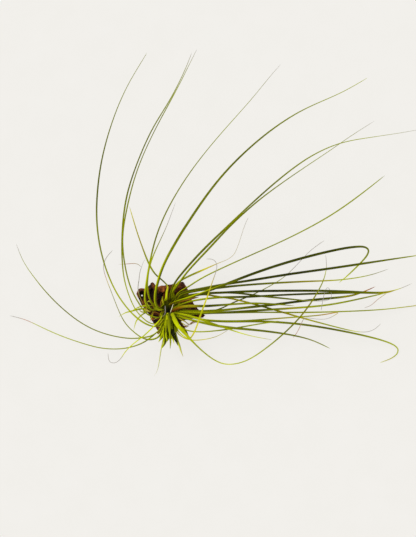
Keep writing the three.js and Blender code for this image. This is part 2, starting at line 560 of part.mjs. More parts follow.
// Height of the bark's top at a point, before its rim is rounded off.
function barkTop(x, y) {
  const humps = BARK_HUMPS.reduce((sum, hump) => {
    const away = Math.hypot(x - hump.x, y - hump.y) / hump.spread;
    return sum + hump.high * Math.exp(-away * away);
  }, BARK_BASE);
  const ridges = 0.5 * Math.sin(1.1 * x + 0.5 * y) + 0.4 * Math.sin(0.7 * x - 1.3 * y);
  return humps + ridges;
}

function barkSolid() {
  const [middleX, middleY] = BARK_MIDDLE;
  const ring = (share, height) => BARK_OUTLINE.map(([x, y]) => {
    const [px, py] = [middleX + (x - middleX) * share, middleY + (y - middleY) * share];
    return new THREE.Vector3(px, py, height(px, py));
  });
  const rings = [
    ring(BARK_FOOT * 0.5, () => 0),
    ring(BARK_FOOT, () => 0),
    ring(1, (x, y) => barkTop(x, y) * BARK_EDGE),
    ...BARK_RINGS.map((share) => ring(share, (x, y) => barkTop(x, y) * (1 - BARK_ROUNDING * share ** 5))),
  ];
  return skin(rings);
}

function mesh(name, solid, color, roughness) {
  const material = new THREE.MeshStandardMaterial({ color, roughness, metalness: 0 });
  const piece = new THREE.Mesh(geometryOf(solid), material);
  piece.name = name;
  return piece;
}

const group = new THREE.Group();
const lines = LEAVES.map((leaf) => ({ ...leaf, places: leafPlaces(leaf) }));

let crown = YOUNG_LEAVES.reduce((sum, leaf) => sum.add(youngLeaf(leaf)), stemSolid(0));
crown = crown.subtract(scoop(HEART_HOLLOW));
for (const leaf of lines) crown = crown.subtract(slit(leaf.places, leaf));
group.add(mesh("crown", largestBody(crown), YOUNG_GREEN, 0.55));

for (const leaf of lines) {
  group.add(mesh(leaf.name, blade(leaf.places, leaf, TAPER), LEAF_GREEN, 0.6));
}

const dryFoot = upright(DRY_FOOT, DRY_FOOT.low, DRY_FOOT.high);
const dryLeaves = DRY_LEAVES.reduce((sum, leaf) => sum.add(dryLeaf(leaf)), dryFoot);
group.add(mesh("dry_leaves", dryLeaves, DRY_STRAW, 0.8));

const rootKnot = upright(ROOT_KNOT, ROOT_KNOT.low, ROOT_KNOT.high);
const roots = ROOTS.reduce((sum, route) => sum.add(rootStrand(route)), rootKnot);
group.add(mesh("roots", roots, ROOT_BROWN, 0.8));

const roomy = (peg) => ({ ...peg, radius: peg.radius + ROOM });
let bark = barkSolid()
  .subtract(stemSolid(ROOM))
  .subtract(upright(roomy(DRY_FOOT), DRY_FOOT.low - ROOM, BARK_BASE * 3))
  .subtract(upright(roomy(ROOT_KNOT), ROOT_KNOT.low - ROOM, BARK_BASE * 3))
  .subtract(upright(KNOT_HOLLOW, KNOT_HOLLOW.floor, BARK_BASE * 3))
  .subtract(upright(KNOT_HOLE, -1, BARK_BASE * 3));
for (const hollow of BARK_HOLLOWS) bark = bark.subtract(scoop(hollow));
group.add(mesh("bark", largestBody(bark), BARK_BROWN, 0.85));

export default group;
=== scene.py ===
# A thin-leaved air plant growing on a lump of bark, lying on a pale surface and seen from straight above.
import math
from itertools import permutations
import bmesh
import bpy
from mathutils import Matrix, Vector, noise


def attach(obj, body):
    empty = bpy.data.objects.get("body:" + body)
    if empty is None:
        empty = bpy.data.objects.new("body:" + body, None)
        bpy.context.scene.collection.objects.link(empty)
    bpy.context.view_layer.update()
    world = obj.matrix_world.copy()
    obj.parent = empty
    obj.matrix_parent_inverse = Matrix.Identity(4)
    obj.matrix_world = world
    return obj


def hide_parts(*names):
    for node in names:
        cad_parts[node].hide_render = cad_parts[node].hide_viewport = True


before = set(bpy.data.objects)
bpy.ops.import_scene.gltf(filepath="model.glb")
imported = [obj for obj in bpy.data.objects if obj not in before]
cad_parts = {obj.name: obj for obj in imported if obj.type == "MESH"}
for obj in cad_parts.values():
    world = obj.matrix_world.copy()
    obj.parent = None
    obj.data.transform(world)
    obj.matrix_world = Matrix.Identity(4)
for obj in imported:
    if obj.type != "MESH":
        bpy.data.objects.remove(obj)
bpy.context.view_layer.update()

MM = 0.001
scene = bpy.context.scene

# The eye's height, the point of the surface under it, and how much of the surface the picture's height
# shows, all in millimetres. Routes give x and y as they look from the eye.
EYE_HEIGHT = 1000.0
EYE_X = 30.4
EYE_Y = 29.2
PICTURE_HEIGHT = 429.6
SENSOR = 36.0

# The middle of the stem, where every long leaf starts, and the stem's two ends.
STEM_MIDDLE = Vector((-0.2, -6.2, 24.0)) * MM
STEM_REAR = Vector((-1.5, 3.6, 15.0)) * MM
STEM_TIP = Vector((1.0, -16.0, 33.0)) * MM

# Across the surface, the way towards the light, which sets where the leaves' margins get painted highlight
# and painted shade.
LIT_SIDE = Vector((-0.74, 0.67, 0.0))

# The room's even light, and its window: how strong and wide it is, and the way to it.
ROOM_COLOUR = (1.0, 0.99, 0.97, 1.0)
ROOM_LIGHT = 0.8
WINDOW_LIGHT = 1.5
WINDOW_SPREAD = math.radians(35.0)
WINDOW_WAY = Vector((-0.5, 0.45, 1.0))

# The floor's side in metres, and the share of its colour that no shadow darkens.
FLOOR_SIDE = 6.0
FLOOR_GLOW = 0.84


def tone(red, green, blue):
    """A finish's colour, from the eye's 0 to 255 to the shader's scale."""
    def linear(value):
        value /= 255.0
        return value / 12.92 if value <= 0.04045 else ((value + 0.055) / 1.055) ** 2.4
    return (linear(red), linear(green), linear(blue), 1.0)


SHADE = tone(38, 42, 0)
NIGHT = tone(52, 57, 0)
INK = tone(70, 76, 0)
DARK = tone(86, 92, 0)
OLIVE = tone(102, 108, 0)
MOSS = tone(120, 127, 0)
LEAF = tone(140, 148, 0)
LIME = tone(164, 172, 0)
BRIGHT = tone(204, 214, 6)
PALE = tone(196, 200, 66)
DUSTY = tone(136, 138, 70)
YELLOW = tone(208, 200, 44)
HAY = tone(168, 160, 20)
OCHRE = tone(146, 138, 8)
GOLD = tone(122, 116, 0)
STRAW = tone(188, 172, 84)
TAN = tone(176, 124, 44)
AMBER = tone(148, 96, 10)
RUST = tone(128, 56, 20)
GREY = tone(160, 154, 148)
WHITE = tone(226, 222, 206)
BLACKISH = tone(14, 16, 4)
CHAR = tone(30, 14, 6)
DUSK = tone(124, 116, 122)
ROSE = tone(176, 128, 104)
MAROON = tone(70, 32, 12)
BROWN = tone(126, 68, 28)
ORANGE = tone(196, 112, 50)

PAPER = tone(237, 235, 230)
PAPER_FLECK = tone(240, 238, 234)

# The painted shade on a leaf's dim side, what darkens it between its veins, and what lightens it in patches.
DIM_SIDE = tone(120, 128, 60)
VEIN_SHADE = tone(190, 190, 120)
PATCH_LIGHT = tone(64, 68, 0)


class Value:
    """A changing number in a finish. Arithmetic on it adds the Math nodes."""

    def __init__(self, finish, socket):
        self.finish = finish
        self.socket = socket

    def math(self, operation, *numbers):
        return self.finish.add("ShaderNodeMath", {"operation": operation}, numbers)

    def __add__(self, other):
        return self.math("ADD", self, other)

    __radd__ = __add__

    def __sub__(self, other):
        return self.math("SUBTRACT", self, other)

    def __rsub__(self, other):
        return self.math("SUBTRACT", other, self)

    def __mul__(self, other):
        return self.math("MULTIPLY", self, other)

    __rmul__ = __mul__


class Finish:
    """A material that is built up node by node."""

    def __init__(self, name):
        self.material = bpy.data.materials.new(name)
        self.material.use_nodes = True
        self.tree = self.material.node_tree
        self.shader = self.tree.nodes["Principled BSDF"]

    def add(self, kind, settings=None, inputs=None, output=0):
        """Adds a node: first its settings or a ramp's stops, then the values or links of its sockets."""
        node = self.tree.nodes.new(kind)
        for key, value in (settings or {}).items():
            if key == "stops":
                self.set_stops(node.color_ramp, value)
            else:
                setattr(node, key, value)
        pairs = inputs.items() if isinstance(inputs, dict) else enumerate(inputs or [])
        for key, value in pairs:
            self.feed(node.inputs[key], value)
        return Value(self, node.outputs[output])

    def feed(self, socket, value):
        if isinstance(value, Value):
            self.tree.links.new(value.socket, socket)
        else:
            socket.default_value = value

    @staticmethod
    def set_stops(ramp, stops):
        while len(ramp.elements) < len(stops):
            ramp.elements.new(0.5)
        for element, (place, colour) in zip(ramp.elements, stops):
            element.position = place
            element.color = colour

    def place(self):
        return self.add("ShaderNodeTexCoord", output="Object")

    def stretched(self, factors):
        return self.add("ShaderNodeMapping", inputs={"Vector": self.place(), "Scale": factors})

    def upward(self, vector):
        return self.add("ShaderNodeSeparateXYZ", inputs=[vector], output="Z")

    def measure(self, name):
        return self.add("ShaderNodeAttribute", {"attribute_name": name}, output="Fac")

    def noise(self, scale, detail=3.0, roughness=0.55, vector=None, output="Fac"):
        return self.add("ShaderNodeTexNoise", output=output, inputs={
            "Vector": vector or self.place(), "Scale": scale, "Detail": detail, "Roughness": roughness,
        })

    def blend(self, share, first, second, mode="MIX"):
        """A Mix node takes two colours at its sockets 6 and 7, and gives their blend at 2."""
        settings = {"data_type": "RGBA", "blend_type": mode}
        return self.add("ShaderNodeMix", settings, {0: share, 6: first, 7: second}, 2)

    def band(self, value, low, high):
        """0 below low, 1 above high, smooth between."""
        return self.add("ShaderNodeMapRange", {"interpolation_type": "SMOOTHSTEP"}, {
            "Value": value, "From Min": low, "From Max": high, "To Min": 0.0, "To Max": 1.0,
        })

    def ramp(self, value, stops):
        return self.add("ShaderNodeValToRGB", {"stops": stops}, {"Fac": value})

    def bump(self, height, strength, distance):
        return self.add("ShaderNodeBump", inputs={
            "Strength": strength, "Distance": distance, "Height": height,
        })

    def done(self, **sockets):
        for key, value in sockets.items():
            self.feed(self.shader.inputs[key.replace("_", " ")], value)
        return self.material


# Camera, light and floor


def place_eye():
    eye = bpy.data.cameras.new("eye")
    eye.sensor_width = SENSOR
    eye.lens = SENSOR * EYE_HEIGHT / PICTURE_HEIGHT
    eye.clip_start = 0.01
    camera = bpy.data.objects.new("eye", eye)
    camera.location = Vector((EYE_X, EYE_Y, EYE_HEIGHT)) * MM
    scene.collection.objects.link(camera)
    scene.camera = camera
    scene.view_settings.view_transform = "Standard"


def light_the_room():
    world = bpy.data.worlds.new("room")
    scene.world = world
    world.use_nodes = True
    sky = world.node_tree.nodes["Background"].inputs
    sky["Color"].default_value = ROOM_COLOUR
    sky["Strength"].default_value = ROOM_LIGHT
    lamp = bpy.data.lights.new("window", "SUN")
    lamp.energy = WINDOW_LIGHT
    lamp.angle = WINDOW_SPREAD
    window = bpy.data.objects.new("window", lamp)
    window.rotation_euler = WINDOW_WAY.to_track_quat("Z", "Y").to_euler()
    scene.collection.objects.link(window)


def lay_floor():
    bpy.ops.object.select_all(action="DESELECT")
    bpy.ops.mesh.primitive_plane_add(size=FLOOR_SIDE)
    plane = bpy.context.object
    plane.name = "floor"
    paper = Finish("floor_paper")
    colour = paper.blend(paper.noise(40.0), PAPER, PAPER_FLECK)
    glow = paper.add("ShaderNodeEmission", inputs={"Color": colour, "Strength": 1.0})
    lit_paper = Value(paper, paper.shader.outputs[0])
    surface = paper.add("ShaderNodeMixShader", inputs=[FLOOR_GLOW, lit_paper, glow])
    paper.feed(paper.tree.nodes["Material Output"].inputs["Surface"], surface)
    plane.data.materials.append(paper.done(Base_Color=colour, Roughness=0.9))


place_eye()
light_the_room()
lay_floor()

# Shared steps

# Corners of a solid's loose triangles that lie this close are one corner.
SAME_CORNER = 0.000002
# A piece is shaded smooth where its faces turn by less than this.
SMOOTH_TURN = math.radians(50.0)
MARGIN_SHARPNESS = 0.7

# Edges are what is picked in edit mode throughout.
scene.tool_settings.mesh_select_mode = (False, True, False)


def seen(x, y, z):
    """The true place of a point at height z that looks to be at x, y from the eye, all in millimetres."""
    shrink = 1.0 - z / EYE_HEIGHT
    return Vector((EYE_X + (x - EYE_X) * shrink, EYE_Y + (y - EYE_Y) * shrink, z)) * MM


def smooth(value, low, high):
    """0 below low, 1 above high, smooth between."""
    share = min(max((value - low) / (high - low), 0.0), 1.0)
    return share * share * (3.0 - 2.0 * share)


def table(rows, share):
    """The value at a share, or at a percentage, of a list of rows of one and its value."""
    for (start, low), (end, high) in zip(rows, rows[1:]):
        if share <= end:
            return low + (high - low) * max(share - start, 0.0) / (end - start)
    return rows[-1][1]


def curve_through(points, steps):
    """Points on a smooth line through the given ones."""
    line = []
    ends = [points[0] * 2 - points[1], *points, points[-1] * 2 - points[-2]]
    for before, start, end, after in zip(ends, ends[1:], ends[2:], ends[3:]):
        for step in range(steps):
            t = step / steps
            line.append(0.5 * (
                2 * start + (end - before) * t + (2 * before - 5 * start + 4 * end - after) * t * t
                + (3 * start - before - 3 * end + after) * t ** 3
            ))
    line.append(points[-1].copy())
    return line


def take_up(piece):
    """Makes a piece the only one that the next operator acts on."""
    bpy.ops.object.select_all(action="DESELECT")
    piece.select_set(True)
    bpy.context.view_layer.objects.active = piece


def apply_all(piece):
    """Makes a piece's modifiers part of its mesh."""
    take_up(piece)
    for modifier in list(piece.modifiers):
        bpy.ops.object.modifier_apply(modifier=modifier.name)


def round_off(piece, levels):
    rounding = piece.modifiers.new("rounding", "SUBSURF")
    rounding.levels = rounding.render_levels = levels


def point_numbers(mesh, *names):
    """Adds numbers for each point that the finishes read, and returns their rows."""
    for name in names:
        mesh.attributes.new(name, "FLOAT", "POINT")
    return [mesh.attributes[name].data for name in names]


def keep_margins(mesh, is_margin):
    """Lets the edges of a blade's margins stay sharp when it is rounded off."""
    crease = mesh.attributes.new("crease_edge", "FLOAT", "EDGE")
    for edge in mesh.edges:
        if is_margin(*edge.vertices):
            crease.data[edge.index].value = MARGIN_SHARPNESS


def copy_of(node, name):
    """A copy of a CAD node's mesh as a new piece, with its loose triangles merged."""
    piece = bpy.data.objects.new(name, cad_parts[node].data.copy())
    scene.collection.objects.link(piece)
    piece.data.materials.clear()
    take_up(piece)
    bpy.ops.mesh.customdata_custom_splitnormals_clear()
    bpy.ops.object.mode_set(mode="EDIT")
    bpy.ops.mesh.select_all(action="SELECT")
    bpy.ops.mesh.remove_doubles(threshold=SAME_CORNER)
    bpy.ops.object.mode_set(mode="OBJECT")
    return piece


def draw_out(name, corners, profile, foot, way, turn):
    """A bar, drawn out ring by ring from a flat end. Its profile is the radius by share of the way."""
    share, radius = profile[0]
    bpy.ops.object.select_all(action="DESELECT")
    bpy.ops.mesh.primitive_circle_add(
        vertices=corners, radius=radius, fill_type="NGON", location=foot + way * share, rotation=turn,
    )
    piece = bpy.context.object
    piece.name = name
    bpy.ops.object.transform_apply()
    bpy.ops.object.mode_set(mode="EDIT")
    bpy.ops.mesh.select_all(action="SELECT")
    for (last, before), (share, radius) in zip(profile, profile[1:]):
        bpy.ops.mesh.extrude_region_move(TRANSFORM_OT_translate={"value": way * (share - last)})
        bpy.ops.transform.resize(value=(radius / before,) * 3, center_override=foot + way * share)
    bpy.ops.mesh.select_all(action="SELECT")
    bpy.ops.mesh.normals_make_consistent(inside=False)
    bpy.ops.object.mode_set(mode="OBJECT")
    return piece


def finish_piece(piece, material, node):
    piece.data.materials.append(material)
    take_up(piece)
    bpy.ops.object.shade_smooth_by_angle(angle=SMOOTH_TURN)
    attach(piece, "root")
    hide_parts(node)


# The long leaves

# A leaf widens by this much into a sheath at its foot, between these distances along it, in metres.
SHEATH = 0.0009
SHEATH_FROM = 0.002
SHEATH_REACH = 0.007
# A blade has this share of its solid's thickness up to its middle, and this much less at its tip.
BLADE_THICKNESS = 0.75
TIP_THINNING = 0.4
# A point between two of a solid leaf's rings has this many edges. One of an end ring has fewer.
RING_POINT_EDGES = 6


def rings_along(mesh):
    """The leaf's rings of four points from foot to tip. Each ring lists its points in the same turn."""
    bm = bmesh.new()
    bm.from_mesh(mesh)
    bm.verts.ensure_lookup_table()
    ends = [v for v in bm.verts if len(v.link_edges) < RING_POINT_EDGES]
    ends.sort(key=lambda v: (v.co - STEM_MIDDLE).length)
    ring = [v for v in ends if (v.co - ends[0].co).length < (v.co - ends[-1].co).length]
    first = min(permutations(ring), key=lambda order: sum(
        (a.co - b.co).length for a, b in zip(order, order[1:] + order[:1])
    ))
    rings = [[v.index for v in first]]
    done = {v.index for v in first}
    while len(done) < len(bm.verts):
        near = {e.other_vert(bm.verts[i]).index for i in rings[-1] for e in bm.verts[i].link_edges} - done
        rings.append(best_order(bm, rings[-1], list(near)))
        done |= near
    bm.free()
    return rings


def best_order(bm, ring, near):
    """The next ring's points in the order that turns least from the last ring's."""
    here = sum((bm.verts[i].co for i in ring), Vector()) / 4
    there = sum((bm.verts[i].co for i in near), Vector()) / 4
    reach = {i: {e.other_vert(bm.verts[i]).index for e in bm.verts[i].link_edges} for i in ring}
    joined = [order for order in permutations(near) if all(j in reach[i] for i, j in zip(ring, order))]
    return list(min(joined, key=lambda order: sum(
        ((bm.verts[j].co - there) - (bm.verts[i].co - here)).length_squared for i, j in zip(ring, order)
    )))


def keel_first(points, rings):
    """The rings, each listed as keel, one edge, groove, other edge."""
    middle = [points[i].co for i in rings[len(rings) // 2]]
    turn = 1 if (middle[0] - middle[2]).length > (middle[1] - middle[3]).length else 0
    if middle[turn].z > middle[turn + 2].z:
        turn += 2
    return [ring[turn:] + ring[:turn] for ring in rings]


def thin_blade(mesh, rings, widths):
    """Gives each ring its width and thickness, and its points the numbers that the leaf's finish reads."""
    points = mesh.vertices
    centres = [sum((points[i].co for i in ring), Vector()) / 4 for ring in rings]
    reached = [0.0]
    for a, b in zip(centres, centres[1:]):
        reached.append(reached[-1] + (b - a).length)
    along, upper, lit = point_numbers(mesh, "along", "upper", "lit")
    for ring, run in zip(rings, reached):
        share = run / reached[-1]
        keel, one, groove, other = (points[i] for i in ring)
        span = one.co - other.co
        sheath = SHEATH * (1.0 - smooth(run, SHEATH_FROM, SHEATH_REACH))
        wide = (table(widths, 100 * share) * MM + sheath) / span.length
        line = (one.co + other.co) / 2
        thick = (groove.co - keel.co) * (BLADE_THICKNESS - TIP_THINNING * smooth(share, 0.5, 1.0))
        belly = line + ((groove.co + keel.co) / 2 - line) * wide
        one.co = line + span / 2 * wide
        other.co = line - span / 2 * wide
        groove.co = belly + thick / 2
        keel.co = belly - thick / 2
        # How much this edge faces the light: the leaf's finish paints a highlight on the margin towards it
        # and shade on the other.
        facing = span.normalized().dot(LIT_SIDE)
        for index, height, turned in zip(ring, (0.0, 0.5, 1.0, 0.5), (0.0, facing, 0.0, -facing)):
            along[index].value = share
            upper[index].value = height
            lit[index].value = turned


def drop_slanted(piece, place):
    """Leaves only the edges along the leaf and round its rings. A point's place is its ring and its side."""
    take_up(piece)
    mesh = piece.data
    for item in (*mesh.polygons, *mesh.edges, *mesh.vertices):
        item.select = False
    for edge in mesh.edges:
        (ring, side), (other_ring, other_side) = (place[i] for i in edge.vertices)
        if ring == other_ring:
            edge.select = (side - other_side) % 4 == 2
        else:
            edge.select = side != other_side
    bpy.ops.object.mode_set(mode="EDIT")
    bpy.ops.mesh.dissolve_edges(use_verts=False)
    bpy.ops.object.mode_set(mode="OBJECT")


def leaf_piece(node, widths, finish):
    """A copy of a long leaf: thinner than the solid, fine at its tip, its keel and groove rounded."""
    piece = copy_of(node, "fine_" + node)
    mesh = piece.data
    rings = keel_first(mesh.vertices, rings_along(mesh))
    thin_blade(mesh, rings, widths)
    place = {index: (number, side) for number, ring in enumerate(rings) for side, index in enumerate(ring)}
    drop_slanted(piece, place)
    keep_margins(mesh, lambda first, second: place[first][1] == place[second][1] in (1, 3))
    round_off(piece, 2)
    apply_all(piece)
    finish_piece(piece, finish, node)


def leaf_finish(name, stops, edge, reach):
    """Living leaf: its colours by percent of its length, fine veins, and up to a reach a painted highlight
    on the margin towards the light and painted shade on the one away from it."""
    finish = Finish(name)
    along = finish.measure("along")
    upper = finish.measure("upper")
    lit = finish.measure("lit")
    near_foot = 1.0 - finish.band(along, 0.5 * reach, reach)
    lengthwise = finish.add("ShaderNodeCombineXYZ", inputs=[along * 0.06, upper * 0.004, 0.0])
    veins = finish.noise(900.0, 2.0, vector=lengthwise)
    patches = finish.noise(160.0, 2.0)
    scales = finish.noise(5200.0, 1.0)
    colour = finish.ramp(along, [(percent / 100, tint) for percent, tint in stops])
    # Painted highlight on the margin towards the light, up to the reach.
    colour = finish.blend(finish.band(lit, 0.1, 0.5) * near_foot * 0.75, colour, edge)
    # Painted shade on the margin away from the light, up to the reach.
    dim = (1.0 - finish.band(lit, -0.5, -0.05)) * near_foot
    colour = finish.blend(dim * 0.8, colour, DIM_SIDE, "MULTIPLY")
    colour = finish.blend(finish.band(veins, 0.45, 0.7) * 0.35, colour, VEIN_SHADE, "MULTIPLY")
    colour = finish.blend(finish.band(patches, 0.4, 0.7) * 0.3, colour, PATCH_LIGHT, "SCREEN")
    bumps = finish.bump(veins * 0.6 + scales * 0.3, strength=0.4, distance=0.00012)
    return finish.done(Base_Color=colour, Roughness=0.6, Specular_IOR_Level=0.05, Normal=bumps)


